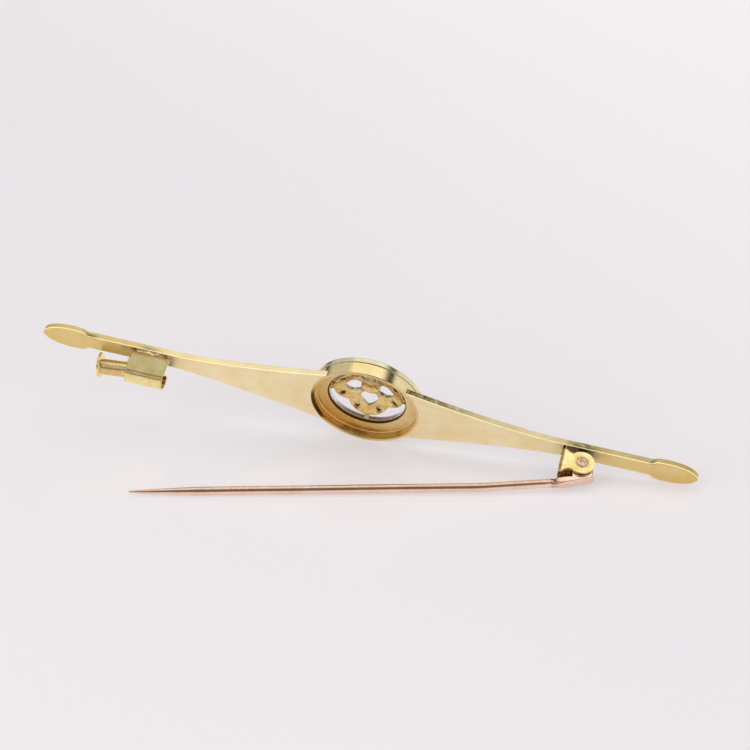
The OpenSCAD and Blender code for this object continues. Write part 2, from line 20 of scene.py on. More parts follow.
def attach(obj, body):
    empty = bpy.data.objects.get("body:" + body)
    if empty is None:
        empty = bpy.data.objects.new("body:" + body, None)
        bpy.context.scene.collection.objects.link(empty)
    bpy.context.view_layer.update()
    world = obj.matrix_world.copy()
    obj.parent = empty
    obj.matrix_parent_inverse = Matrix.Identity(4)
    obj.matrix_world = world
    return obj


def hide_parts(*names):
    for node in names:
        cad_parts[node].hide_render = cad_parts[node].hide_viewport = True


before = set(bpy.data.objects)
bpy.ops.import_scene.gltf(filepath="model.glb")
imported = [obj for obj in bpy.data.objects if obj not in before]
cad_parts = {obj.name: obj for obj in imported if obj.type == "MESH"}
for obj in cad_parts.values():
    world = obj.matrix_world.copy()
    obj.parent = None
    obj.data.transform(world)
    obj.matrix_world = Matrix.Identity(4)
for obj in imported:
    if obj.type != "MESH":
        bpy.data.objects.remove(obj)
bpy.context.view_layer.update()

LOG = logging.getLogger("bar_brooch")
Array = np.ndarray
Colour = tuple[int, int, int]
Triple = tuple[float, float, float]
Socket = bpy.types.NodeSocket

MM = 0.001
SAME_POINT = 1e-5  # mm: nearer points of a loop are one
MERGE = 3e-7  # m: nearer vertices of a piece are merged
SLIVER = 1e-8  # m: thinner faces are dissolved
NORMAL_WEIGHT = 80  # how strongly a piece's large faces set its normals
SINES = 8  # sines of a ripple
SINE_SPREAD = 0.6  # spread of their wavelengths
EDGE_STEPS = 5  # points of a plate's quarter-round edge
EDGE_WEAR = 0.35  # least wear of a plate's edge
MITRE_LEAST = 0.6  # keeps the corners of a plate from running out
FILL_CLEARANCE = 0.55  # least gap from a plate's edge to its inner points, in spacings
LUMPS = 0.55  # mm: wavelength of the lumps in solder
BEND_WEAR = 3.0  # wear for the sine of a profile's bend
ROUND_STEPS = 192  # steps round the medallion
DOME_CENTRE = 4.824  # mm: height of the centre of the ornament's dome

# Ranges of the finishes: dirt with painted shade, wear with painted highlights, noise or distance along the
# bar in mm, and what they reach
SOIL_DIRT_AND_SHADE = (0.0, 0.7)
CRUST_DIRT_AND_SHADE = (0.72, 0.95)
WORN_WEAR = (0.3, 1.0)
MATTE_WEAR = (0.3, 0.8)
GRAIN_RANGE = (0.3, 0.7)
DEEP_ENDS = (15.0, 29.5)
DULL_ENDS = (17.0, 24.0)
WORN_MOST = 0.8
DIRT_AND_SHADE_ROUGHNESS = 0.15
PIT_DARKNESS = 0.9
PIT_ROUGHNESS = 0.4
WAVES = 0.45  # slow waves of the relief to the mm
LAYER_EDGE = 0.05  # mm over which one layer's tint turns into the next

# How the brooch rests: rows are the frame's x, y and z in the brooch's axes, then the shift in mm
REST_TURN = np.array([
    [0.992665, 0.108480, -0.0533774],
    [0.0, -0.441496, -0.897263],
    [-0.120901, 0.890681, -0.438258],
])
REST_SHIFT = np.array([0.0, 5.13128, 4.99886])


class Body(Enum):
    """The rigid bodies of the frame."""

    ROOT = "root"
    PIN = "pin_body"
    SLIDER = "slider"


class Slot(Enum):
    """The record's material slots."""

    YELLOW = "yellow_gold"
    PIERCED = "pierced_gold"
    ROSE = "rose_gold"
    WHITE = "white_metal"
    STONE = "stone"


class Side(Enum):
    """The two wings of the bar, by the sign of x."""

    CATCH = -1
    HINGE = 1


# Shapes


def to_frame(points: Array) -> Array:
    """Brooch axes in mm to the frame in metres: turned, shifted and scaled.

    Args:
        points: Any number of points, one a row.

    Returns:
        The same points in the frame.
    """
    return (points @ REST_TURN.T + REST_SHIFT) * MM


def arc(cx: float, cy: float, radius: float, start: float, end: float, steps: int) -> Array:
    """Points on a circle: centre plus radius times (cos, sin) of angles from start to end, in degrees.

    Args:
        cx: Centre, first coordinate.
        cy: Centre, second coordinate.
        radius: Radius.
        start: First angle.
        end: Last angle.
        steps: Number of pieces between them.

    Returns:
        steps + 1 points.
    """
    a = np.radians(np.linspace(start, end, steps + 1))
    return np.stack([cx + radius * np.cos(a), cy + radius * np.sin(a)], axis=1)


def filleted(corners: Sequence[tuple[float, float, float]], steps: int = 5) -> Array:
    """A closed polygon whose corners are rounded.

    Each corner is replaced by a quadratic curve that leaves and meets its two sides at a
    distance of the corner's radius: (1-t)^2 a + 2t(1-t) corner + t^2 b.

    Args:
        corners: (first, second, radius) of each corner in turn.
        steps: Pieces of each curve.

    Returns:
        The rounded loop.
    """
    c = np.array([k[:2] for k in corners])
    r = np.array([k[2] for k in corners])[:, None]
    back, ahead = np.roll(c, 1, axis=0) - c, np.roll(c, -1, axis=0) - c
    a = c + back / np.linalg.norm(back, axis=1, keepdims=True) * r
    b = c + ahead / np.linalg.norm(ahead, axis=1, keepdims=True) * r
    t = np.linspace(0, 1, steps + 1)[None, :, None]
    loop = (1 - t) ** 2 * a[:, None] + 2 * t * (1 - t) * c[:, None] + t ** 2 * b[:, None]
    loop = loop.reshape(-1, 2)
    keep = np.linalg.norm(loop - np.roll(loop, 1, axis=0), axis=1) > SAME_POINT
    return loop[keep]


def divided(loop: Array, longest: float) -> Array:
    """A closed loop with points added, so that no side is longer than a given length.

    Args:
        loop: Points of the loop.
        longest: Greatest length of a side.

    Returns:
        The divided loop.
    """
    ahead = np.roll(loop, -1, axis=0)
    parts = np.ceil(np.linalg.norm(ahead - loop, axis=1) / longest).astype(int)
    pieces = [p + (q - p) * np.arange(n)[:, None] / n for p, q, n in zip(loop, ahead, parts)]
    return np.concatenate(pieces)


def ripple(points: Array, wave: float, seed: int) -> Array:
    """A smooth uneven height between about -1 and 1: the mean of sines in seeded directions.

    Args:
        points: Points, one a row.
        wave: Typical wavelength, in the points' unit.
        seed: Seed of the directions and phases.

    Returns:
        One height for each point.
    """
    draw = np.random.default_rng(seed)
    ways = draw.normal(size=(points.shape[-1], SINES)) * (2 * math.pi / wave) * SINE_SPREAD
    return np.sin(points @ ways + draw.uniform(0, 2 * math.pi, SINES)).mean(axis=-1) * 2


def grid_faces(rows: int, cols: int, close_rows: bool = False, close_cols: bool = False) -> Array:
    """Quads between the neighbours of a grid whose vertex (i, j) has the number i * cols + j.

    Args:
        rows: Number of rows.
        cols: Number of columns.
        close_rows: Whether the last row joins the first.
        close_cols: Whether the last column joins the first.

    Returns:
        Four vertex numbers a face.
    """
    i, j = np.meshgrid(np.arange(rows - (not close_rows)), np.arange(cols - (not close_cols)),
                       indexing="ij")
    i2, j2 = (i + 1) % rows, (j + 1) % cols
    corners = [i * cols + j, i2 * cols + j, i2 * cols + j2, i * cols + j2]
    return np.stack(corners, axis=-1).reshape(-1, 4)


@dataclass
class Shell:
    """A surface before it becomes a piece: points, faces, and each point's wear and dirt, with painted
    highlights and shade.
    """

    points: Array
    faces: list
    wear: Array
    grime: Array | None = None

    def mapped(self, change: Callable[[Array], Array]) -> "Shell":
        """The same shell with its points changed by a function of all of them."""
        return Shell(change(self.points), self.faces, self.wear, self.grime)

    def with_tint_mask(self, amount: Callable[[Array], Array]) -> "Shell":
        """The same shell with a tint mask from 0 to 1 by a function of all its points; pieces use it for
        dirt, painted shade, painted reflections and a second tint.
        """
        return Shell(self.points, self.faces, self.wear, np.clip(amount(self.points), 0, 1))

    def joined(self, other: "Shell") -> "Shell":
        """This shell and another as one.

        Args:
            other: The shell that is added.

        Returns:
            One shell of both.
        """
        shift = len(self.points)
        return Shell(
            np.concatenate([self.points, other.points]),
            self.faces + [[v + shift for v in f] for f in other.faces],
            np.concatenate([self.wear, other.wear]),
            np.concatenate([self.dirt_and_shade(), other.dirt_and_shade()]),
        )

    def dirt_and_shade(self) -> Array:
        """Each point's dirt and painted shade, nought where nothing was said."""
        return np.zeros(len(self.points)) if self.grime is None else self.grime


def near(points: Array, centre: Sequence[float], reach: float,
         stretch: Sequence[float] = (1, 1, 1)) -> Array:
    """How near points are to a place: 1 there, falling as exp(-(distance / reach)^2).

    Args:
        points: The points.
        centre: The place.
        reach: Distance at which it has fallen to a third.
        stretch: What distances along each axis are multiplied by.

    Returns:
        One value for each point.
    """
    return np.exp(-(((points - np.array(centre)) * stretch) ** 2).sum(axis=1) / reach ** 2)


@dataclass(frozen=True)
class DirtAndShadePatch:
    """A dark patch, used for dirt, painted shadows and a painted reflection: its depth where it lies,
    falling off as near() does.
    """

    place: Triple
    reach: float
    depth: float
    stretch: Triple = (1, 1, 1)

    def on(self, points: Array) -> Array:
        """How dark it makes each of some points."""
        return self.depth * near(points, self.place, self.reach, self.stretch)


def bell(values: Array, middle: float, width: float) -> Array:
    """A bell curve: 1 at the middle, falling as exp(-((value - middle) / width)^2).

    Args:
        values: The values.
        middle: Where it is 1.
        width: How far from there it has fallen to a third.

    Returns:
        The curve's height at each value.
    """
    return np.exp(-((values - middle) / width) ** 2)


def ramp(values: Array, start: float, end: float) -> Array:
    """How far values have come on the way from start to end, held between 0 and 1.

    Args:
        values: The values.
        start: Where it is 0.
        end: Where it is 1, above or below the start.

    Returns:
        The share of the way for each value.
    """
    return np.clip((values - start) / (end - start), 0, 1)


def smooth(share: Array) -> Array:
    """A share from 0 to 1 eased at both ends: 3 s^2 - 2 s^3."""
    return share * share * (3 - 2 * share)


def spun(points: Array, angle: float) -> Array:
    """Flat points turned about the origin by an angle in degrees."""
    c, s = math.cos(math.radians(angle)), math.sin(math.radians(angle))
    return points @ np.array([[c, s], [-s, c]])


def turned(profile: Array, segments: int = 128) -> Shell:
    """A closed profile turned about the z axis: (radius cos a, radius sin a, height).

    Args:
        profile: (radius, height) of each point of the closed profile.
        segments: Steps of the angle round the axis.

    Returns:
        The turned shell, worn where the profile bends.
    """
    a = np.linspace(0, 2 * math.pi, segments, endpoint=False)[:, None]
    r, z = profile[:, 0][None], profile[:, 1][None]
    points = np.stack([r * np.cos(a), r * np.sin(a), z + 0 * a], axis=-1).reshape(-1, 3)
    before, after = profile - np.roll(profile, 1, axis=0), np.roll(profile, -1, axis=0) - profile
    size = np.linalg.norm(before, axis=1) * np.linalg.norm(after, axis=1) + 1e-12
    bend = np.abs(before[:, 0] * after[:, 1] - before[:, 1] * after[:, 0]) / size
    wear = np.tile(np.clip(bend * BEND_WEAR, 0, 1), segments)
    return Shell(points, grid_faces(segments, len(profile), True, True).tolist(), wear)


def inside(points: Array, loops: Sequence[Array], margin: float) -> Array:
    """Which points lie inside the first loop, outside the others and clear of all of them.

    A point is inside where a ray along the first axis crosses the loops an odd number of times.

    Args:
        points: The points to test.
        loops: The outer loop and the holes.
        margin: Least distance from any loop's points.

    Returns:
        True or False for each point.
    """
    odd = np.zeros(len(points), bool)
    clear = np.ones(len(points), bool)
    for loop in loops:
        ahead = np.roll(loop, -1, axis=0)
        y, y1, y2 = points[:, 1][:, None], loop[:, 1][None], ahead[:, 1][None]
        across = (y1 > y) != (y2 > y)
        x = loop[:, 0] + (y - y1) * (ahead[:, 0] - loop[:, 0]) / np.where(y2 == y1, 1, y2 - y1)
        odd ^= (across & (points[:, 0][:, None] < x)).sum(axis=1) % 2 == 1
        gaps = np.linalg.norm(points[:, None] - loop[None], axis=2).min(axis=1)
        clear &= gaps > margin
    return odd & clear


def plate(outer: Array, holes: Sequence[Array], thickness: float, edge: float, spacing: float) -> Shell:
    """A plate of sheet with rounded edges, lying in the first two coordinates.

    Every loop is carried up the edge: moved into the metal by edge * (1 - cos a) and along
    the third coordinate to half the thickness - edge * (1 - sin a), a from 0 to 90 degrees.
    The two faces are filled between the innermost loops, over a grid of inner points.

    Args:
        outer: Outer loop, counter-clockwise.
        holes: Loops of the holes, clockwise.
        thickness: Thickness of the sheet.
        edge: Radius of the rounded edge.
        spacing: Distance between the inner points.

    Returns:
        The plate, worn along its edges.
    """
    turns = np.radians(np.linspace(0, 90, EDGE_STEPS))
    insets = edge * (1 - np.cos(turns))
    heights = thickness / 2 - edge * (1 - np.sin(turns))
    insets = np.concatenate([insets[::-1], insets])
    heights = np.concatenate([-heights[::-1], heights])
    wears = np.tile(EDGE_WEAR + (1 - EDGE_WEAR) * np.sin(2 * turns), 2)
    points, wear, faces, rims = [], [], [], []
    start = 0
    for loop in [outer, *holes]:
        way = np.roll(loop, -1, axis=0) - loop
        way /= np.linalg.norm(way, axis=1, keepdims=True)
        side = np.stack([-way[:, 1], way[:, 0]], axis=1)
        side = side + np.roll(side, 1, axis=0)
        side /= np.maximum(MITRE_LEAST, (side ** 2).sum(axis=1, keepdims=True) / 2)
        carried = loop[None] + insets[:, None, None] * side[None]
        lifted = np.broadcast_to(heights[:, None, None], carried.shape[:2] + (1,))
        points.append(np.concatenate([carried, lifted], axis=2).reshape(-1, 3))
        wear.append(np.repeat(wears, len(loop)))
        faces += (grid_faces(len(heights), len(loop), False, True) + start).tolist()
        rims.append((carried[-1], start, start + (len(heights) - 1) * len(loop)))
        start += len(heights) * len(loop)
    low, high = outer.min(axis=0), outer.max(axis=0)
    grid = np.stack(np.meshgrid(*[np.arange(a + spacing / 2, b, spacing) for a, b in zip(low, high)]), -1)
    inner = grid.reshape(-1, 2)
    inner = inner[inside(inner, [r[0] for r in rims], spacing * FILL_CLEARANCE)]
    flat = np.concatenate([r[0] for r in rims] + [inner])
    edges, bottom, top, count = [], [], [], 0
    for rim, low_start, high_start in rims:
        n = len(rim)
        edges += [(count + k, count + (k + 1) % n) for k in range(n)]
        bottom.append(low_start + np.arange(n))
        top.append(high_start + np.arange(n))
        count += n
    bottom.append(start + np.arange(len(inner)))
    top.append(start + len(inner) + np.arange(len(inner)))
    bottom, top = np.concatenate(bottom), np.concatenate(top)
    filled = delaunay_2d_cdt([tuple(p) for p in flat], edges, [], 0, 1e-7)
    source = np.array([o[0] for o in filled[3]])
    cover = source[np.array(filled[2])]
    cover = cover[inside(flat[cover].mean(axis=1), [r[0] for r in rims], 0.0)]
    faces += top[cover].tolist() + bottom[cover[:, ::-1]].tolist()
    for height in (-thickness / 2, thickness / 2):
        points.append(np.concatenate([inner, np.full((len(inner), 1), height)], axis=1))
        wear.append(np.zeros(len(inner)))
    return Shell(np.concatenate(points), faces, np.concatenate(wear))


def lump(length: float, radius: float, seed: int, rows: int = 40, cols: int = 20) -> Shell:
    """A bead of solder along x: a tube whose radius swells unevenly and closes at both ends.

    Args:
        length: Length over both ends.
        radius: Greatest radius.
        seed: Seed of the unevenness.
        rows: Steps along the bead.
        cols: Steps round it.

    Returns:
        The bead, centred at the origin.
    """
    u = np.linspace(-1, 1, rows)[:, None]
    a = np.linspace(0, 2 * math.pi, cols, endpoint=False)[None]
    x = u * length / 2 + 0 * a
    around = np.stack([x, radius * np.cos(a) + 0 * u, radius * np.sin(a) + 0 * u], axis=-1)
    rough = ripple(around.reshape(-1, 3), LUMPS, seed).reshape(rows, cols)
    r = radius * np.sqrt(np.clip(1 - u ** 6, 0, 1)) * (0.8 + 0.22 * rough)
    points = np.stack([x, r * np.cos(a), r * np.sin(a)], axis=-1).reshape(-1, 3)
    return Shell(points, grid_faces(rows, cols, False, True).tolist(), np.full(len(points), 0.3))


def placed(place: Sequence[float], right: Array, up: Array, back: Array) -> Matrix:
    """Where a camera or a light stands: its three axes and its place.

    Args:
        place: Its place, in metres.
        right: Its axis to the right.
        up: Its axis upwards.
        back: Its axis backwards.

    Returns:
        The object's matrix.
    """
    turn = Matrix(np.stack([right, up, back], axis=1).tolist()).to_4x4()
    return Matrix.Translation(place) @ turn


def add_piece(
    name: str,
    shell: Shell,
    body: Body,
    finish: "MetalFinish",
    slot: Slot,
    replaced: Sequence[str] = (),
) -> bpy.types.Object:
    """Puts a shell into the scene as a piece: merged, pointing outwards, smooth and dressed.

    Args:
        name: Name of the piece.
        shell: Its surface, in the brooch's axes.
        body: The body it rides on.
        finish: Its finish.
        slot: The record's material slot; not used.
        replaced: CAD nodes it stands for.

    Returns:
        The new object.
    """
    mesh = bpy.data.meshes.new(name)
    mesh.from_pydata(to_frame(shell.points).tolist(), [], shell.faces)
    # Painted highlights ride on the wear mark, and painted shade and reflections on the grime mark, with
    # real wear and dirt.
    for mark, values in (("wear", shell.wear), ("grime", shell.dirt_and_shade())):
        mesh.attributes.new(mark, "FLOAT", "POINT").data.foreach_set("value", values.astype(np.float32))
    work = bmesh.new()
    work.from_mesh(mesh)
    bmesh.ops.remove_doubles(work, verts=work.verts, dist=MERGE)
    bmesh.ops.dissolve_degenerate(work, edges=work.edges, dist=SLIVER)
    bmesh.ops.recalc_face_normals(work, faces=work.faces)
    work.to_mesh(mesh)
    work.free()
    mesh.shade_smooth()
    piece = bpy.data.objects.new(name, mesh)
    bpy.context.scene.collection.objects.link(piece)
    mesh.materials.append(finish.material())
    weighted = piece.modifiers.new("even_normals", "WEIGHTED_NORMAL")
    weighted.weight = NORMAL_WEIGHT
    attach(piece, body.value)
    if replaced:
        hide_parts(*replaced)
    LOG.info("%s: %d faces on %s", name, len(mesh.polygons), body.value)
    return piece


# Finishes


def linear(colour: Sequence[int]) -> tuple[float, float, float, float]:
    """An 8-bit screen colour as a linear one: ((c / 255 + 0.055) / 1.055) ^ 2.4 above 0.04.

    Args:
        colour: Red, green and blue from 0 to 255.

    Returns:
        The linear colour, with an alpha of 1.
    """
    c = np.array(colour) / 255
    out = np.where(c <= 0.04045, c / 12.92, ((c + 0.055) / 1.055) ** 2.4)
    return (*[float(v) for v in out], 1.0)


class Nodes:
    """A short way to add and join the shader nodes of a material or of the world."""

    def __init__(self, owner: bpy.types.Material | bpy.types.World) -> None:
        """Empties a node tree and keeps it.

        Args:
            owner: The material or the world that has it.
        """
        owner.use_nodes = True
        self.tree = owner.node_tree
        self.tree.nodes.clear()

    def add(self, kind: str, inputs: dict | None = None, **settings: object) -> bpy.types.Node:
        """Adds a node.

        Args:
            kind: The node's type, without the ShaderNode at its front.
            inputs: Socket name or number to a value, or to the output that feeds it.
            settings: The node's own settings.

        Returns:
            The new node.
        """
        node = self.tree.nodes.new("ShaderNode" + kind)
        for key, value in settings.items():
            setattr(node, key, value)
        for key, value in (inputs or {}).items():
            if isinstance(value, Socket):
                self.tree.links.new(value, node.inputs[key])
            else:
                node.inputs[key].default_value = value
        return node

    def brooch_coordinates(self, stretch: Triple = (1, 1, 1)) -> Socket:
        """Object coordinates as mm in the brooch's own axes, then stretched along each.

        Args:
            stretch: What each coordinate is multiplied by.

        Returns:
            The coordinates.
        """
        place = self.add("TexCoord").outputs["Object"]
        turn = Matrix(REST_TURN.T.tolist()).to_euler()
        back = (-REST_TURN.T @ REST_SHIFT).tolist()
        laid = self.add("Mapping", {"Vector": place, "Location": back, "Rotation": turn,
                                    "Scale": (1 / MM,) * 3}).outputs[0]
        return self.add("Mapping", {"Vector": laid, "Scale": stretch}).outputs[0]

    def noise(self, place: Socket, scale: float, detail: float, roughness: float = 0.5) -> Socket:
        """Clouds of noise.

        Args:
            place: The coordinates.
            scale: Clouds to a unit of length.
            detail: How many finer layers there are.
            roughness: How strong the finer layers are.

        Returns:
            Values about a half.
        """
        return self.add("TexNoise", {"Vector": place, "Scale": scale, "Detail": detail,
                                     "Roughness": roughness}).outputs[0]

    def mark(self, name: str) -> Socket:
        """A piece's own value for each point, such as its wear."""
        return self.add("Attribute", attribute_name=name).outputs["Fac"]

    def spread(self, value: Socket, low: float, high: float, to_low: float = 0.0,
               to_high: float = 1.0) -> Socket:
        """A value mapped from one range to another and held inside it.

        Args:
            value: The value.
            low: Where its range begins.
            high: Where its range ends.
            to_low: What the beginning becomes.
            to_high: What the end becomes.

        Returns:
            The new value.
        """
        return self.add("MapRange", {0: value, 1: low, 2: high, 3: to_low, 4: to_high}).outputs[0]

    def math(self, operation: str, *values: object) -> Socket:
        """A sum of one, two or three values; the operation is Blender's name for it."""
        return self.add("Math", dict(enumerate(values)), operation=operation).outputs[0]

    def mixed(self, share: Socket, first: object, second: object) -> Socket:
        """Two colours mixed by a share."""
        return self.add("Mix", {0: share, 6: first, 7: second}, data_type="RGBA").outputs[2]

    def along_bar(self, place: Socket) -> Socket:
        """Distance from the middle along the bar, in brooch coordinates."""
        return self.math("ABSOLUTE", self.add("SeparateXYZ", {0: place}).outputs[0])

    def from_dome(self, place: Socket) -> Socket:
        """Distance from the centre of the ornament's dome, in brooch coordinates."""
        centre = (0, 0, DOME_CENTRE)
        return self.add("VectorMath", {0: place, 1: centre}, operation="DISTANCE").outputs["Value"]


def made_once(name: str, surface: Callable[[Nodes], Socket]) -> bpy.types.Material:
    """A material whose nodes are made the first time that it is asked for.

    Args:
        name: Its name.
        surface: Adds its nodes and gives the shader's output.

    Returns:
        The material.
    """
    made = bpy.data.materials.get(name)
    if not made:
        made = bpy.data.materials.new(name)
        nodes = Nodes(made)
        nodes.add("OutputMaterial", {"Surface": surface(nodes)})
    return made


@dataclass(frozen=True)
class MetalFinish:
    """A worn precious metal: blotches of two tints, brushed lines, dirt with painted shade, pits, bright
    worn edges with painted highlights.

    Blotches, brushed lines, grain and ribs are counted to the mm, or round the axis for ribs, and
    depths are heights of the relief in mm. The ends are a deeper tint far out along the bar, a
    painted reflection of darker surroundings, and the front is the tint of a layer beyond
    front_radius from the dome's centre. A matte edge is less metallic where it is worn, and
    dirt_and_shade_least is the share of the dirt and painted shade between its darkest spots.
    """

    name: str
    light: Colour
    deep: Colour
    worn: Colour
    roughness: float = 0.28
    roughness_spread: float = 0.1
    blotch: float = 0.35
    mottle: float = 0.2
    brush: Triple = (0.25, 2.6, 2.6)
    brush_depth: float = 0.004
    grain: float = 3.0
    grain_depth: float = 0.002
    wave_depth: float = 0.0
    pits: float = 0.0
    # The soil and crust tints also paint shade and reflections; on pale_gold they are the ring's white.
    soil_and_shade: Colour = (150, 104, 50)
    crust_and_shade: Colour = (58, 36, 16)
    ends_reflection: Colour | None = None
    ends_roughness: float = 0.0
    front: Colour | None = None
    front_radius: float = 0.0
    ribs: float = 0.0
    rib_depth: float = 0.03
    matte_edge: float = 0.0
    dirt_and_shade_least: float = 0.45

    def material(self) -> bpy.types.Material:
        """The finish as a material, made once."""
        return made_once(self.name, self.surface)

    def surface(self, n: Nodes) -> Socket:
        """The shader: tint, dirt with painted shade and wear with painted highlights over each other, with
        roughness and relief.

        Args:
            n: The material's nodes.

        Returns:
            The shader's output.
        """
        place = n.brooch_coordinates()
        lines = n.noise(n.brooch_coordinates(self.brush), 1.0, 2.0)
        grain = n.noise(place, self.grain, 3.0)
        dirt_and_shade = self.dirt_and_shade(n, place)
        wear = n.mark("wear")
        colour = self.colour(n, place, lines)
        # Painted shade and reflections take the soil and crust tints, just as dirt does.
        colour = n.mixed(n.spread(dirt_and_shade, *SOIL_DIRT_AND_SHADE), colour, linear(self.soil_and_shade))
        colour = n.mixed(n.spread(dirt_and_shade, *CRUST_DIRT_AND_SHADE), colour, linear(self.crust_and_shade))
        # The worn tint also paints the highlights along the bar's edges and the hinge's folds.
        colour = n.mixed(n.spread(wear, *WORN_WEAR, 0.0, WORN_MOST), colour, linear(self.worn))
        height = n.math("MULTIPLY", lines, self.brush_depth)
        height = n.math("MULTIPLY_ADD", grain, self.grain_depth, height)
        if self.wave_depth:
            height = n.math("MULTIPLY_ADD", n.noise(place, WAVES, 1.0), self.wave_depth, height)
        if self.ribs:
            height = n.math("MULTIPLY_ADD", self.rib(n, place), self.rib_depth, height)
        rough = n.spread(grain, *GRAIN_RANGE, self.roughness - self.roughness_spread,
                         self.roughness + self.roughness_spread)
        rough = n.math("MULTIPLY_ADD", dirt_and_shade, DIRT_AND_SHADE_ROUGHNESS, rough)
        if self.ends_reflection:
            rough = n.math("ADD", rough, n.spread(n.along_bar(place), *DULL_ENDS, 0.0, self.ends_roughness))
        if self.pits:
            pit = self.pit(n, place, grain)
            colour = n.mixed(n.spread(pit, 0.0, 1.0, 0.0, PIT_DARKNESS), colour, linear(self.crust_and_shade))
            height = n.math("MULTIPLY_ADD", pit, -self.pits, height)
            rough = n.math("MULTIPLY_ADD", pit, PIT_ROUGHNESS, rough)
        bump = n.add("Bump", {"Height": height, "Distance": MM, "Strength": 1.0}).outputs[0]
        metal = n.spread(wear, *MATTE_WEAR, 1.0, 1.0 - self.matte_edge) if self.matte_edge else 1.0
        return n.add("BsdfPrincipled", {
            "Base Color": colour, "Roughness": rough, "Metallic": metal, "Normal": bump,
            "Specular IOR Level": 0.5,
        }).outputs[0]

    def colour(self, n: Nodes, place: Socket, lines: Socket) -> Socket:
        """The metal's tint: two tints in blotches, lines and mottling, and a painted reflection that
        deepens it at the bar's ends.

        Args:
            n: The material's nodes.
            place: Brooch coordinates.
            lines: Noise drawn out into brushed lines.

        Returns:
            The colour.
        """
        blotch = n.noise(place, self.blotch, 5.0, 0.6)
        colour = n.mixed(n.spread(blotch, 0.36, 0.66), linear(self.light), linear(self.deep))
        colour = n.mixed(n.spread(lines, 0.4, 0.7, 0.0, 0.25), colour, linear(self.deep))
        spots = n.noise(place, 2.6, 2.0)
        colour = n.mixed(n.spread(spots, 0.45, 0.7, 0.0, self.mottle), colour, linear(self.soil_and_shade))
        # Painted reflection: a deeper tint towards both ends of the bar.
        if self.ends_reflection:
            share = n.math("MULTIPLY", n.spread(n.along_bar(place), *DEEP_ENDS),
                           n.spread(blotch, 0.3, 0.6, 0.6, 1.0))
            colour = n.mixed(share, colour, linear(self.ends_reflection))
        if self.front:
            skin = n.spread(n.from_dome(place), self.front_radius, self.front_radius + LAYER_EDGE)
            colour = n.mixed(skin, colour, linear(self.front))
        return colour

    def dirt_and_shade(self, n: Nodes, place: Socket) -> Socket:
        """Dirt and painted shade where the piece says so, broken up by noise.

        Args:
            n: The material's nodes.
            place: Brooch coordinates.

        Returns:
            The dirt and painted shade, from 0 to 1.
        """
        broken = n.spread(n.noise(place, 2.2, 4.0), 0.3, 0.55, self.dirt_and_shade_least, 1.0)
        return n.math("MULTIPLY", n.mark("grime"), broken)

    def pit(self, n: Nodes, place: Socket, grain: Socket) -> Socket:
        """Pits: cells of a Voronoi pattern, kept where the fine noise is high.

        Args:
            n: The material's nodes.
            place: Brooch coordinates.
            grain: The fine noise.

        Returns:
            How deep in a pit a point is, from 0 to 1.
        """
        cell = n.add("TexVoronoi", {"Vector": place, "Scale": 3.2, "Randomness": 1.0}).outputs["Distance"]
        return n.math("MULTIPLY", n.spread(cell, 0.05, 0.28, 1.0, 0.0), n.spread(grain, 0.5, 0.62))

    def rib(self, n: Nodes, place: Socket) -> Socket:
        """Milled ribs round the z axis: the sine of the angle times their number.

        Args:
            n: The material's nodes.
            place: Brooch coordinates.

        Returns:
            Their height, from -1 to 1.
        """
        parts = n.add("SeparateXYZ", {0: place}).outputs
        angle = n.math("ARCTAN2", parts[1], parts[0])
        return n.math("SINE", n.math("MULTIPLY", angle, self.ribs))


@dataclass(frozen=True)
class StoneFinish:
    """A clear cut stone with a faint veil, or one soiled behind that is clear in front.

    The soil ends at the distance clear_from, in mm, from the dome's centre; 0 is for no soil.
    """

    name: str = "clear_stone"
    tint: Colour = (250, 251, 253)
    veil: Colour = (236, 240, 244)
    refraction: float = 2.2
    clear_from: float = 0.0

    def material(self) -> bpy.types.Material:
        """The finish as a material, made once."""
        return made_once(self.name, self.surface)

    def surface(self, n: Nodes) -> Socket:
        """The shader: clear, and tinted behind if the stone is soiled.

        Args:
            n: The material's nodes.

        Returns:
            The shader's output.
        """
        place = n.brooch_coordinates()
        veil = n.spread(n.noise(place, 4.0, 3.0), 0.4, 0.7)
        colour = n.mixed(veil, linear(self.tint), linear(self.veil))
        if self.clear_from:
            before = n.spread(n.from_dome(place), self.clear_from, self.clear_from + LAYER_EDGE)
            colour = n.mixed(before, colour, linear(CLEAR_STONE.tint))
        return n.add("BsdfPrincipled", {
            "Base Color": colour, "Roughness": 0.02, "IOR": self.refraction,
            "Transmission Weight": 1.0,
        }).outputs[0]


# The ends tint of bar_gold is a painted reflection of darker surroundings.
BAR_GOLD = MetalFinish("bar_gold", (255, 242, 200), (250, 226, 170), (255, 250, 196), 0.34, 0.03,
                       mottle=0.04, brush_depth=0.002, grain_depth=0.0, wave_depth=0.02,
                       soil_and_shade=(158, 142, 104), ends_reflection=(238, 210, 136), ends_roughness=0.2, matte_edge=0.85)
CUP_GOLD = MetalFinish("cup_gold", (250, 234, 182), (238, 212, 146), (252, 238, 190), 0.15, 0.06,
                       mottle=0.08, brush=(1.5, 1.5, 1.5), brush_depth=0.002, grain_depth=0.001,
                       wave_depth=0.02, soil_and_shade=(206, 156, 72), crust_and_shade=(88, 56, 18), dirt_and_shade_least=0.8)
PIERCED_GOLD = MetalFinish("cast_gold", (255, 236, 166), (242, 200, 126), (252, 232, 162), 0.26, 0.1,
                           blotch=0.9, mottle=0.35, brush=(2.0, 2.0, 2.0), grain=3.0, grain_depth=0.012,
                           wave_depth=0.05, pits=0.04, soil_and_shade=(166, 122, 56), crust_and_shade=(70, 34, 16),
                           front=(168, 164, 146), front_radius=7.16)
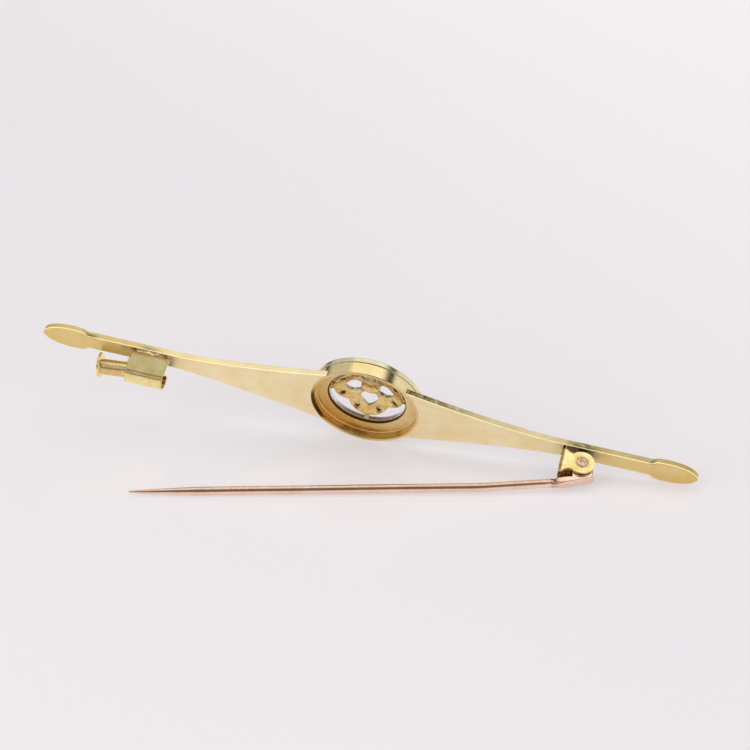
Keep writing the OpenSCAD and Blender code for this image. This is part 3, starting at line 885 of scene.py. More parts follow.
SHEET_GOLD = MetalFinish("sheet_gold", (255, 244, 182), (246, 222, 148), (255, 248, 208), 0.2, 0.06,
                         blotch=0.8, brush=(0.4, 3.0, 3.0), wave_depth=0.02, soil_and_shade=(214, 160, 84))
EAR_GOLD = MetalFinish("ear_gold", (255, 248, 190), (244, 212, 134), (255, 250, 206), 0.2, 0.08,
                       blotch=1.1, mottle=0.25, brush=(1.5, 3.0, 3.0), grain_depth=0.01, wave_depth=0.04,
                       soil_and_shade=(170, 124, 60))
SOLDER_GOLD = MetalFinish("solder_gold", (255, 238, 186), (206, 172, 112), (255, 250, 220), 0.22, 0.1,
                          blotch=1.8, mottle=0.4, grain=3.6, grain_depth=0.08, pits=0.12,
                          soil_and_shade=(160, 120, 66))
ROSE_GOLD = MetalFinish("drawn_rose_gold", (255, 228, 206), (246, 206, 180), (255, 240, 224), 0.14, 0.04,
                        mottle=0.06, brush=(0.2, 3.0, 3.0), soil_and_shade=(210, 170, 146), crust_and_shade=(120, 84, 64))
BRAZED_GOLD = MetalFinish("brazed_gold", (255, 222, 198), (216, 158, 124), (255, 240, 226), 0.2, 0.1,
                          blotch=1.6, mottle=0.4, grain=3.6, grain_depth=0.08, pits=0.08,
                          soil_and_shade=(150, 96, 68))
PALE_GOLD = MetalFinish("pale_gold", (242, 236, 196), (222, 210, 158), (252, 246, 216), 0.2, 0.08,
                        mottle=0.1, brush=(2.0, 2.0, 2.0), wave_depth=0.02, soil_and_shade=(232, 231, 234),
                        crust_and_shade=(238, 236, 240), dirt_and_shade_least=0.65)
MILLED_METAL = MetalFinish("milled_metal", (255, 246, 238), (240, 222, 204), (255, 252, 246), 0.5, 0.1,
                           blotch=1.5, brush=(2.0, 2.0, 2.0), ribs=44.0)
CLEAR_STONE = StoneFinish()
SOILED_STONE = StoneFinish("soiled_stone", (150, 104, 74), (92, 58, 40), clear_from=7.6)


# The bar


@dataclass
class Bar:
    """Two flared blades that run out through a neck into spoon-shaped terminals."""

    half_length: float = 33.0
    thickness: float = 0.62
    root_width: float = 6.8
    root_x: float = 5.5
    root_margin: float = 0.08
    blade_end: float = 20.0
    neck_end: float = 28.3
    flare: float = 1.5
    neck_width: float = 1.95
    terminal_length: float = 4.7
    terminal_width: float = 2.95
    terminal_belly: float = 2.9
    inner_belly_share: float = 1.15
    root_circle: float = 5.27
    edge: float = 0.07
    terminal_front_edge: float = 0.24
    soft_from: float = 28.1
    soft_run: float = 0.8
    front_wear: float = 0.6
    lower_wear: float = 0.25
    cup_fit: float = 7.0
    shoulder_run: float = 0.6
    ripple_height: float = 0.008
    bow: float = 0.28
    bow_half: float = 21.0
    # Painted shadow lines on the upper edge by the shoulders.
    catch_shoulder_shadow: DirtAndShadePatch = DirtAndShadePatch((28.05, 0.975, 0.05), 0.26, 0.95, (0.4, 2, 2))
    hinge_shoulder_shadow: DirtAndShadePatch = DirtAndShadePatch((28.4, 0.975, 0.05), 0.26, 0.95, (1, 2, 2))
    catch_solder: DirtAndShadePatch = DirtAndShadePatch((-22.0, 0.85, 0.0), 0.3, 0.8, (0.35, 1, 1))
    # Painted reflection of the catch, with some dirt, on the bar near the catch's far end.
    catch_end_reflection_and_dirt: DirtAndShadePatch = DirtAndShadePatch((-24.5, 0.55, 0.0), 0.4, 0.5)
    hinge_solder: DirtAndShadePatch = DirtAndShadePatch((21.6, 0.375, 0.0), 0.8, 1.1, (0.6, 0.8, 1))
    # The upper right side is made darker, most next to the cup.
    side_levels: tuple[float, float] = (-0.58, -0.03)
    side_darkening: float = 0.2
    side_darkest: float = 5.0

    def outline(self) -> tuple[Array, Array]:
        """Half the outline from the cup to the tip.

        The blade's half width is half the neck's plus a power of the way left to the neck.
        The terminal is two half ellipses of one width, the inner one cut off at the neck.

        Returns:
            The x and the half width of each point.
        """
        root = math.sqrt(self.root_circle ** 2 - (self.root_width / 2 + self.root_margin) ** 2)
        x = np.concatenate([np.linspace(root, self.blade_end, 90),
                            np.linspace(self.blade_end, self.neck_end, 26)[1:]])
        left = np.clip((self.blade_end - x) / (self.blade_end - self.root_x), 0, None)
        y = (self.neck_width + (self.root_width - self.neck_width) * left ** self.flare) / 2
        belly = self.half_length - self.terminal_belly
        inner = self.terminal_belly * self.inner_belly_share
        last = math.degrees(math.acos(-(self.terminal_length - self.terminal_belly) / inner))
        t = np.radians(np.concatenate([np.linspace(last, 90, 24), np.linspace(90, 0, 34)[1:]]))
        a = np.where(t > math.pi / 2, inner, self.terminal_belly)
        spoon_x, spoon_y = belly + a * np.cos(t), self.terminal_width / 2 * np.sin(t)
        rise = smooth(ramp(spoon_x, x[-1], x[-1] + self.shoulder_run))
        spoon_y = y[-1] + (spoon_y - y[-1]) * rise
        return np.concatenate([x, spoon_x[1:]]), np.concatenate([y, spoon_y[1:]])

    def wing(self) -> Shell:
        """The wing on the hinge's side.

        The section runs from the middle of the back over one edge, the front and the other
        edge. Its flat points share out the way from the middle to the edge, and the rounded
        edge is the outline moved in by edge * (1 - cos a). Near the cup each row of points
        curves to meet its round wall. The whole bar is bent a little, as bent() gives.

        Returns:
            The wing's shell.
        """
        x, y = self.outline()
        way = np.stack([np.gradient(x), np.gradient(y)], axis=1)
        way /= np.linalg.norm(way, axis=1, keepdims=True)
        out = np.stack([-way[:, 1], way[:, 0]], axis=1)
        out[-1] = (1, 0)
        shares = np.array([0, 0.2, 0.4, 0.6, 0.8, 0.95])
        turns = np.radians(np.linspace(90, 0, 6))
        inset = np.concatenate([np.full(len(shares), self.edge), self.edge * (1 - np.cos(turns))])
        share = np.concatenate([shares, np.ones(len(turns))])
        drop = np.concatenate([np.zeros(len(shares)), self.edge * (1 - np.sin(turns))])
        # Wear of the rounded edges, widened towards the back into a painted highlight line.
        edge_wear_and_highlight = np.where(turns > math.pi / 4, 0.65 + 0.35 * np.sin(2 * turns), np.sin(2 * turns))
        wear = np.concatenate([0 * shares, edge_wear_and_highlight])
        softer = ramp(x, self.soft_from, self.soft_from + self.soft_run)[:, None]
        softer = 1 + softer * (self.terminal_front_edge / self.edge - 1)
        front = softer * inset[None, ::-1]
        inset = np.concatenate([np.broadcast_to(inset, front.shape), front], axis=1)
        z = np.concatenate([np.broadcast_to(-drop, front.shape),
                            softer * drop[None, ::-1] - self.thickness], axis=1)
        share = np.concatenate([share, share[::-1]])
        wear = np.concatenate([wear, self.front_wear * wear[::-1]])
        px = x[:, None] - inset * out[:, 0][:, None] * share ** 8
        py = np.clip(y[:, None] - inset * out[:, 1][:, None], 0, None) * share[None]
        at_cup = ramp(x, x[0] + self.cup_fit, x[0]) ** 2
        bulge = np.sqrt(self.root_circle ** 2 - (share * y[0]) ** 2) - x[0]
        upper = np.stack([px + at_cup[:, None] * bulge[None], py, z], axis=-1)
        lower = upper[:, ::-1] * [1, -1, 1]
        ring = np.concatenate([upper, lower], axis=1)
        root = ring[:1] * [1, 1, 0] - [0, 0, self.thickness / 2]
        ring = np.concatenate([root, ring])
        wears = np.tile(np.concatenate([wear, self.lower_wear * wear[::-1]]), len(ring))
        points = ring.reshape(-1, 3)
        points[:, 2] += self.ripple_height * ripple(points[:, :2], wave=7.0, seed=3)
        points[:, 2] += self.bent(points[:, 0])
        return Shell(points, grid_faces(len(ring), ring.shape[1], False, True).tolist(), wears)

    def bent(self, x: Array) -> Array:
        """How far the bent bar lies above a straight one: bow * (1 - (x / half)^2)."""
        return self.bow * np.clip(1 - (x / self.bow_half) ** 2, 0, 1)

    def soil_and_shade(self, points: Array) -> Array:
        """Painted shadow on the shoulders' upper edge, dirt round the solder, a painted reflection of the
        catch with some dirt near its far end, and a darker upper right side.

        The shadows of the shoulders are given for x > 0 and lie on the upper edge alone. The
        side is darkest at side_darkest and falls as a bell curve to side_darkening.

        Args:
            points: Points of a wing.

        Returns:
            The darkening at each.
        """
        x, y, z = points.T
        mirrored = abs(points)
        # Painted shadow on the shoulders' upper edge.
        shoulder_shadow = np.where(x < 0, self.catch_shoulder_shadow.on(mirrored), self.hinge_shoulder_shadow.on(mirrored))
        low, high = self.side_levels
        level = z - self.bent(x)
        # Darker along the upper right side.
        side = (x > 0) * (y > 0) * (level > low) * (level < high)
        side = side * (self.side_darkening + 0.65 * bell(x, self.side_darkest, 4.5))
        spots = sum(stain.on(points) for stain in (self.catch_solder, self.catch_end_reflection_and_dirt, self.hinge_solder))
        return (y > 0) * shoulder_shadow + spots + side

    def build(self) -> None:
        """Makes both wings."""
        for side in Side:
            shell = self.wing().mapped(lambda p: p * [side.value, 1, 1]).with_tint_mask(self.soil_and_shade)
            name = f"wing_{side.name.lower()}_side"
            add_piece(name, shell, Body.ROOT, BAR_GOLD, Slot.YELLOW, ["gold_frame"])


# The medallion


@dataclass
class Medallion:
    """A turned cup with a ledge, a ring of white metal on its front and a pierced dome between."""

    radius: float = 5.42
    wall: float = 0.3
    rim: float = 0.38
    rim_round: float = 0.145
    ledge: float = 0.5
    ledge_slope: float = 0.3
    opening: float = 3.86
    front: float = 1.0
    ring_radius: float = 5.5
    ring_thickness: float = 0.56
    ring_bevel: float = 0.1
    gap: float = 0.02
    dome_edge: float = 1.08
    dome_rise: float = 1.15
    dome_thickness: float = 0.5
    lobe_reach: float = 3.6
    lobe_notch: float = 2.9
    tab: float = 0.5
    tab_reach: float = 3.98
    window_start: float = 0.95
    window_tip: float = 2.6
    window_half: float = 0.94
    hole_ring: float = 2.86
    hole_radius: float = 0.22
    clean_stones: tuple[int, ...] = (6,)

    def cup(self) -> Shell:
        """The cup: a rounded profile of wall, ledge and open centre, turned.

        Returns:
            The cup, a little uneven at its rim.
        """
        inner = self.radius - self.wall
        profile = filleted([
            (inner, -self.ledge, 0.06), (inner, self.rim, self.rim_round),
            (self.radius, self.rim, self.rim_round),
            (self.radius, -self.front, 0.06), (self.opening, -self.front, 0.04),
            (self.opening, -self.ledge - self.ledge_slope, 0.06),
        ], steps=6)
        shell = turned(divided(profile, longest=0.11), ROUND_STEPS)
        uneven = 0.012 * ripple(shell.points * [1, 1, 0.2], wave=6.0, seed=8)
        shell.points[:, 2] += uneven * (shell.points[:, 2] > 0.2)
        return Shell(shell.points, shell.faces, 0.3 * shell.wear, self.patina_and_shade(shell.points))

    def patina_and_shade(self, p: Array) -> Array:
        """Patina inside the cup on its wall, its ledge and its bore, and painted shade on the left of its
        rim.

        The ledge is darker the nearer to the wall, and painted shade darkens it towards its lower left.

        Args:
            p: Points of the cup.

        Returns:
            The patina and painted shade at each.
        """
        r, z = np.hypot(p[:, 0], p[:, 1]), p[:, 2]
        within = np.maximum(ramp(r, self.radius - 0.1, self.radius - 0.25),
                            ramp(z, self.rim - 0.16, self.rim - 0.06)) * (z > -self.front + 0.05)
        # Painted shade: the ledge darker towards its lower left.
        low = 0.5 - 0.5 * (p[:, 0] * 0.6 + p[:, 1] * 0.8) / (r + 0.01)
        ledge = np.clip(0.05 + 0.62 * low ** 2 + 0.22 * (r - 4.1), 0, 0.7)
        inside_wall = np.where(r > self.radius - self.wall - 0.08, 0.22, ledge)
        bore = ramp(r, self.opening + 0.12, self.opening) * (z < -self.ledge)
        # Painted shade on the left of the rim.
        left = bell(np.degrees(np.arctan2(p[:, 1], -p[:, 0])), -14, 24)
        left = left * ramp(z, self.rim - 0.42, self.rim - 0.22)
        return np.clip(within * inside_wall + 2 * bore + 1.7 * left, 0, 2)

    def front_ring(self) -> Shell:
        """The front ring: a bevelled profile, turned; yellow on its outer wall, white elsewhere.

        Returns:
            The ring's shell.
        """
        back = -self.front - self.gap
        face = back - self.ring_thickness
        bevel = self.ring_bevel
        profile = filleted([
            (self.opening, back, 0.03), (self.ring_radius, back, 0.04),
            (self.ring_radius, face + bevel, 0.05), (self.ring_radius - bevel, face, 0.05),
            (self.opening + bevel, face, 0.05), (self.opening, face + bevel / 2, 0.04),
        ])
        shell = turned(divided(profile, longest=0.14), ROUND_STEPS)
        return shell.with_tint_mask(lambda p: np.hypot(p[:, 0], p[:, 1]) < self.ring_radius - 0.02)

    def lobes(self) -> Array:
        """The ornament's outline: four arcs that meet in notches, each with a tab at its tip.

        Returns:
            The loop, counter-clockwise.
        """
        notch = self.lobe_notch / math.sqrt(2)
        centre = (self.lobe_notch ** 2 - self.lobe_reach ** 2) / (2 * (notch - self.lobe_reach))
        radius = self.lobe_reach - centre
        last = math.degrees(math.atan2(notch, notch - centre)) - 1.0
        tab = math.degrees(math.asin(self.tab / 2 / radius))
        half = arc(centre, 0, radius, tab + 1.5, last, 26)
        end = np.array([[self.tab_reach, self.tab / 2], [centre + radius + 0.03, self.tab / 2 + 0.005]])
        one = np.concatenate([half[::-1] * [1, -1], end[::-1] * [1, -1], end, half])
        return np.concatenate([spun(one, 90 * k) for k in range(4)])

    def window(self) -> Array:
        """One opening: a shield with crisp corners, its near edge bulging like the centre.

        Each side leaves the near corner, swells to the greatest half width at three tenths of
        the length, and runs with a quadratic curve down to the tip.

        Returns:
            The loop, clockwise.
        """
        corner = np.array([self.window_start, self.window_half * 0.77])
        length = self.window_tip - self.window_start
        belly = np.array([self.window_start + length * 0.3, self.window_half])
        tip = np.array([self.window_tip, 0.0])
        t = np.linspace(0, 1, 12)[:, None]
        swell = belly + [self.window_half * 0.62, 0]
        curve = (1 - t) ** 2 * belly + 2 * t * (1 - t) * swell + t ** 2 * tip
        near_edge = arc(0, 0, self.window_start + 0.04, 34.0, 0.0, 8)[1:]
        half = np.concatenate([curve[::-1], [corner], near_edge])
        return divided(np.concatenate([half[:-1], half[::-1][:-1] * [1, -1]]), longest=0.1)[::-1]

    def ornament(self) -> Shell:
        """The pierced ornament: a flat plate with its openings, then laid on a sphere.

        Returns:
            The ornament's shell.
        """
        holes = [spun(self.window(), 90 * k) for k in range(4)]
        drill = arc(self.hole_ring, 0, self.hole_radius, 360, 0, 18)[:-1]
        holes += [spun(drill, 45 * k + 22.5) for k in range(8)]
        outer = divided(self.lobes(), longest=0.14)
        shell = plate(outer, holes, self.dome_thickness, edge=0.06, spacing=0.17)
        return shell.mapped(self.domed).with_tint_mask(self.ornament_soil_and_shade)

    def domed(self, p: Array) -> Array:
        """Lays the plate on the sphere.

        A point goes to the middle sphere below it and from there along the sphere's normal by
        its height in the plate, with the small unevenness of a casting.

        Args:
            p: Points of the flat plate.

        Returns:
            Points of the dome.
        """
        radius = (self.opening ** 2 + self.dome_rise ** 2) / (2 * self.dome_rise)
        centre = radius - self.dome_edge - self.dome_rise
        middle = radius + self.dome_thickness / 2
        flat = p[:, :2]
        depth = -np.sqrt(middle ** 2 - (flat ** 2).sum(axis=1))
        out = np.stack([flat[:, 0], flat[:, 1], depth], axis=1) / middle
        cast = 0.035 * ripple(flat, wave=1.6, seed=5) + 0.02 * ripple(flat, wave=0.6, seed=6)
        return out * (middle - p[:, 2] + cast)[:, None] + [0, 0, centre]

    def ornament_soil_and_shade(self, p: Array) -> Array:
        """Dirt in the drilled holes, painted shadow on three tabs, painted shade round the centre, and
        darker at the lobes' edge.

        Args:
            p: Points of the dome.

        Returns:
            The dirt and painted shade at each.
        """
        r, a = np.hypot(p[:, 0], p[:, 1]), np.arctan2(p[:, 1], p[:, 0])
        holes = bell(r, self.hole_ring, 0.3) * np.clip(np.cos(8 * a + math.pi) * 3 - 1.9, 0, 1)
        # Painted shadow at three of the tabs.
        tabs = bell(r, 3.8, 0.14) * (np.cos(4 * a) > 0.9) * (np.abs(a + math.pi / 2) > 0.3)
        # Painted shade round the centre; darker at the lobes' edge.
        return 1.3 * holes + 0.8 * tabs + 0.45 * bell(r, 3.55, 0.25) + 0.3 * bell(r, 1.0, 0.15)

    def build(self) -> None:
        """Makes the cup, the ring and the ornament, and dresses the setting and the stones."""
        add_piece("medallion_cup", self.cup(), Body.ROOT, CUP_GOLD, Slot.YELLOW, ["gold_frame"])
        add_piece("white_front_ring", self.front_ring(), Body.ROOT, PALE_GOLD, Slot.WHITE, ["front_ring"])
        add_piece("pierced_ornament", self.ornament(), Body.ROOT, PIERCED_GOLD, Slot.PIERCED, ["openwork"])
        dress("centre_collet", MILLED_METAL)
        dress("centre_stone", CLEAR_STONE)
        for k in range(1, 9):
            dress(f"lobe_stone_{k}", CLEAR_STONE if k in self.clean_stones else SOILED_STONE)


def dress(node: str, finish: MetalFinish | StoneFinish) -> None:
    """Gives a CAD node that keeps its shape a finish of its own.

    Args:
        node: The CAD node's name.
        finish: Its finish.
    """
    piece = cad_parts[node]
    piece.data.materials.clear()
    piece.data.materials.append(finish.material())
    LOG.info("%s: CAD shape, %s", node, finish.name)


# The hinge


@dataclass
class Hinge:
    """A bracket folded from sheet, with a rivet through its two ears."""

    rivet_x: float = 21.85
    rivet_z: float = 1.6
    ear_radius: float = 1.25
    width: float = 1.84
    sheet: float = 0.32
    web: float = 2.1
    web_top: float = 2.58
    tail_top: float = 3.13
    tail_foot: float = 0.5
    hole_radius: float = 0.32
    rivet_radius: float = 0.3
    head_radius: float = 0.5
    head_height: float = 0.12
    upper_fillet: float = 0.78
    lower_fillet: float = 0.72
    bead_radius: float = 0.17

    def pattern(self) -> tuple[Array, list[Array]]:
        """The flat sheet before it is folded, as distance from the web's middle and height.

        Half of it runs from the web's foot through a fillet, the round ear and a second fillet
        to the web's head, and the other half is its mirror image.

        Returns:
            The outer loop and the two holes.
        """
        eye = [self.flat_start() + self.web - self.fold_end(), self.rivet_z]
        neck_top, neck_foot = self.tail_top - self.rivet_z + 0.22, self.tail_foot - self.rivet_z - 0.45
        disc = arc(0, 0, self.ear_radius, -133, 133, 60)
        upper = arc(-1, neck_top, self.upper_fillet, 284, 202, 14)
        lower = arc(-1, neck_foot, self.lower_fillet, 141, 78, 14)
        ear = np.concatenate([lower, disc, upper]) + eye
        foot = np.array([[0.86, -0.3], [0.88, self.tail_foot - 0.05], [0.93, self.tail_foot]])
        head = np.array([[0.72, self.tail_top], [0.66, self.tail_top - 0.05],
                         [0.64, self.web_top + 0.06], [0.58, self.web_top]])
        half = np.concatenate([foot, ear, head])
        loop = np.concatenate([half, (half * [-1, 1])[::-1]])
        hole = arc(0, 0, self.hole_radius, 360, 0, 28)[:-1] + eye
        return divided(loop, longest=0.16), [hole, (hole * [-1, 1])[::-1]]

    def fold_radius(self) -> float:
        """Radius of the fold in the middle of the sheet."""
        return 0.6 * self.sheet

    def fold_end(self) -> float:
        """Distance from the web's outside to where the ears are flat."""
        return self.sheet / 2 + self.fold_radius()

    def flat_start(self) -> float:
        """Distance along the sheet from the web's middle to where an ear is flat."""
        return self.width / 2 - self.sheet / 2 - self.fold_radius() + self.fold_radius() * math.pi / 2

    def bracket(self) -> Shell:
        """The sheet folded twice: flat web, a quarter circle each side, then the flat ears.

        Returns:
            The bracket, with a painted highlight along its folds.
        """
        outer, holes = self.pattern()
        shell = plate(outer, holes, self.sheet, edge=0.045, spacing=0.11)
        shell = shell.mapped(self.folded).with_tint_mask(self.soil_and_shade)
        # Painted highlight along the folds, carried by the wear mark.
        fold_highlight = bell(shell.points[:, 0], self.rivet_x - self.web + 0.41, 0.05)
        shell.wear = np.maximum(shell.wear, fold_highlight)
        return shell

    def folded(self, p: Array) -> Array:
        """Carries distance along the sheet round the two folds.

        Args:
            p: Points of the flat sheet.

        Returns:
            Points of the bracket.
        """
        radius = self.fold_radius()
        bend = self.width / 2 - self.sheet / 2 - radius
        s, z, h = np.abs(p[:, 0]), p[:, 1], p[:, 2]
        turn = np.clip((s - bend) / radius, 0, math.pi / 2)
        past = np.clip(s - bend - radius * math.pi / 2, 0, None)
        across = np.minimum(s, bend) + (radius + h) * np.sin(turn)
        along = -self.web + self.sheet / 2 + radius - (radius + h) * np.cos(turn) + past
        return np.stack([self.rivet_x + along, across * np.sign(p[:, 0]), z], axis=1)

    def rivet(self) -> Shell:
        """The rivet: a shank and two low hammered heads, turned and laid along y.

        Returns:
            The rivet's shell.
        """
        reach = self.width / 2 + 0.02
        top = reach + self.head_height
        half = [(self.rivet_radius, reach, 0.01), (self.head_radius, reach, 0.03),
                (self.head_radius * 0.86, top - 0.02, 0.05), (0.16, top, 0.05), (0.1, top - 0.05, 0.04)]
        corners = half + [(0.0, top - 0.06, 0.0), (0.0, -top + 0.06, 0.0)]
        corners += [(r, -z, f) for r, z, f in half[::-1]]
        shell = turned(filleted(corners, steps=3), segments=40)
        x, y, z = shell.points.T
        dents = 0.03 * ripple(shell.points * [1, 1, 0.3], wave=0.5, seed=22)
        dents = dents * (np.abs(z) > reach + 0.03)
        laid = np.stack([x + self.rivet_x, z + dents * np.sign(z), y + self.rivet_z], axis=1)
        return Shell(laid, shell.faces, shell.wear)

    def soil_and_shade(self, p: Array) -> Array:
        """Dirt on the bracket at its foot, inside it and round the rivet's heads, and painted shade on its
        web.

        Args:
            p: Points of the bracket.

        Returns:
            The dirt and painted shade at each.
        """
        foot = ramp(p[:, 2], 0.55, 0)
        inner = self.width / 2 - self.sheet / 2
        within = ramp(np.abs(p[:, 1]), inner, inner - 0.1)
        head = bell(np.hypot(p[:, 0] - self.rivet_x, p[:, 2] - self.rivet_z), self.head_radius + 0.05, 0.12)
        # Painted shade on the web.
        back = self.rivet_x - self.web + 0.36
        return foot + 0.7 * within + 0.6 * head + 0.55 * ramp(p[:, 0], back, back - 0.06)

    def build(self) -> None:
        """Makes the bracket, its solder and the rivet."""
        frame_nodes = ["gold_frame"]
        add_piece("hinge_bracket", self.bracket(), Body.ROOT, EAR_GOLD, Slot.YELLOW, frame_nodes)
        place = [self.rivet_x - self.web, 0, 0.0]
        bead = lump(self.width * 0.95, self.bead_radius, seed=21)
        bead = bead.mapped(lambda p: p[:, [1, 0, 2]] + place)
        add_piece("hinge_solder", bead, Body.ROOT, SOLDER_GOLD, Slot.YELLOW, frame_nodes)
        add_piece("rivet", self.rivet(), Body.ROOT, BRAZED_GOLD, Slot.ROSE, ["hinge_rivet"])


# The pin


@dataclass
class PinStem:
    """A flattened block with an eye, drawn out into a bent wire with a sharp point."""

    rivet_x: float = 21.85
    rivet_z: float = 1.6
    rest_angle: float = 19.4
    offset: float = 1.58
    bend_angle: float = 3.0
    bend_at: float = 10.0
    reach: float = 33.45
    taper: float = 6.5
    radius: float = 0.415
    tip_radius: float = 0.08
    block_length: float = 2.5
    block_tail: float = 1.05
    block_thinning: float = 0.42
    block_height: float = 0.84
    eye_width: float = 1.06
    eye_radius: float = 0.85
    eye_hole: float = 0.34
    tail_round: float = 0.32
    tip_round: float = 0.1
    soft_bend: float = 0.6
    round_steps: int = 40

    def opened(self, p: Array) -> Array:
        """Points about the rivet, wire along -x, turned to the resting angle and put in place.

        Args:
            p: Points.

        Returns:
            The points in the brooch's axes.
        """
        c, s = math.cos(math.radians(self.rest_angle)), math.sin(math.radians(self.rest_angle))
        x, z = p[:, 0] * c + p[:, 2] * s, -p[:, 0] * s + p[:, 2] * c
        return np.stack([x + self.rivet_x, p[:, 1], z + self.rivet_z], axis=1)

    def stem(self) -> Shell:
        """Block, wire and point in one: a section carried along the bent middle line.

        The section is a superellipse, |y / a|^n + |z / b|^n = 1, square-shouldered in the block
        and round in the wire. Its size closes over the block's end and runs out in the point.

        Returns:
            The stem's shell.
        """
        block = self.block_tail + self.block_length
        total = self.block_tail + self.bend_at + self.reach
        d = np.concatenate([
            self.tail_round * (1 - np.cos(np.linspace(0, math.pi / 2, 9))),
            np.linspace(0.4, block + 0.8, 50), np.linspace(block + 1.1, total - 7, 110),
            np.linspace(total - 6.9, total - self.tip_round, 40),
            total - self.tip_round * np.array([0.6, 0.3, 0.1, 0]),
        ])
        x, z = self.middle_line(d)
        flat = smooth(ramp(d, block + 0.35, block - 0.55))
        close = np.sqrt(np.clip(1 - ramp(d, self.tail_round, 0) ** 2, 0, 1))
        way = ramp(d, total, total - self.taper)
        point = self.tip_radius / self.radius + (1 - self.tip_radius / self.radius) * way ** 0.75
        last = np.sqrt(ramp(d, total, total - self.tip_round))
        point = np.where(d > total - self.tip_round, point * last, point)
        wide = (self.radius + (self.eye_width / 2 - self.radius) * flat) * close * point
        high = (self.radius + (self.block_height / 2 - self.radius) * flat) * close * point
        thin = self.block_thinning / 2 * ramp(d, block, 0)
        high, z = high * (1 - thin / (self.block_height / 2)), z - thin
        power = 2 / (2 + 3.0 * flat)
        a = np.linspace(0, 2 * math.pi, self.round_steps, endpoint=False)
        ca, sa = np.cos(a)[None], np.sin(a)[None]
        y = np.sign(ca) * np.abs(ca) ** power[:, None] * wide[:, None]
        up = np.sign(sa) * np.abs(sa) ** power[:, None] * high[:, None]
        around = np.stack([np.broadcast_to(x[:, None], y.shape), y, up], axis=-1)
        lumps = ripple(around.reshape(-1, 3), wave=0.32, seed=14).reshape(y.shape)
        lumps = 1 + 0.15 * lumps * bell(d, block + 0.35, 0.4)[:, None]
        hand = 0.008 * ripple(np.stack([d, 0 * d], axis=1), wave=9.0, seed=12) * (1 - flat)
        points = np.stack([x[:, None] + 0 * y, y * lumps + hand[:, None], z[:, None] + up * lumps], axis=-1)
        wear = 0.3 * flat[:, None] * (np.abs(np.sin(2 * a)) > 0.8)
        brazed = 0.6 * bell(d, block + 0.4, 0.4) + 0.12 * flat
        # Painted shade that dims the wire's upper side.
        painted_top_shade = 0.4 * ramp(np.cos(a + 0.5), 0.45, 0.8)[None] * (1 - flat[:, None])
        faces = grid_faces(len(d), self.round_steps, False, True).tolist()
        shell = Shell(points.reshape(-1, 3), faces, wear.ravel(), (brazed[:, None] + painted_top_shade).ravel())
        return shell.mapped(self.opened)

    def middle_line(self, d: Array) -> tuple[Array, Array]:
        """The stem's middle line: straight, and after a soft bend straight again.

        Within soft_bend of the bend the distance past it grows as a square, so the two
        straight parts meet without a corner.

        Args:
            d: Distances from the block's end.

        Returns:
            The x and the z of each, about the rivet.
        """
        bend, soft = self.block_tail + self.bend_at, self.soft_bend
        past = np.where(d > bend + soft, d - bend, (d - bend + soft) ** 2 / 4 / soft)
        past = np.where(d < bend - soft, 0, past)
        b = math.radians(self.bend_angle)
        return self.block_tail - d + past * (1 - math.cos(b)), self.offset - past * math.sin(b)

    def eye(self) -> Shell:
        """The eye: a rounded plate between the ears, round the rivet and up to the block.

        Returns:
            The eye's shell.
        """
        ring = arc(0, 0, self.eye_radius, 200, 340, 26)
        low = self.offset - self.block_height * 0.2
        loop = np.concatenate([ring, [[self.block_tail * 0.85, low], [-self.block_length * 0.45, low]]])
        hole = arc(0, 0, self.eye_hole, 360, 0, 28)[:-1]
        shell = plate(divided(loop, longest=0.2), [hole], self.eye_width, edge=0.08, spacing=0.25)
        return shell.mapped(lambda p: self.opened(p[:, [0, 2, 1]]))

    def build(self) -> None:
        """Makes the stem and the eye."""
        for name, shell in (("pin_stem", self.stem()), ("pin_eye", self.eye())):
            add_piece(name, shell, Body.PIN, ROSE_GOLD, Slot.ROSE, ["pin"])


# The catch


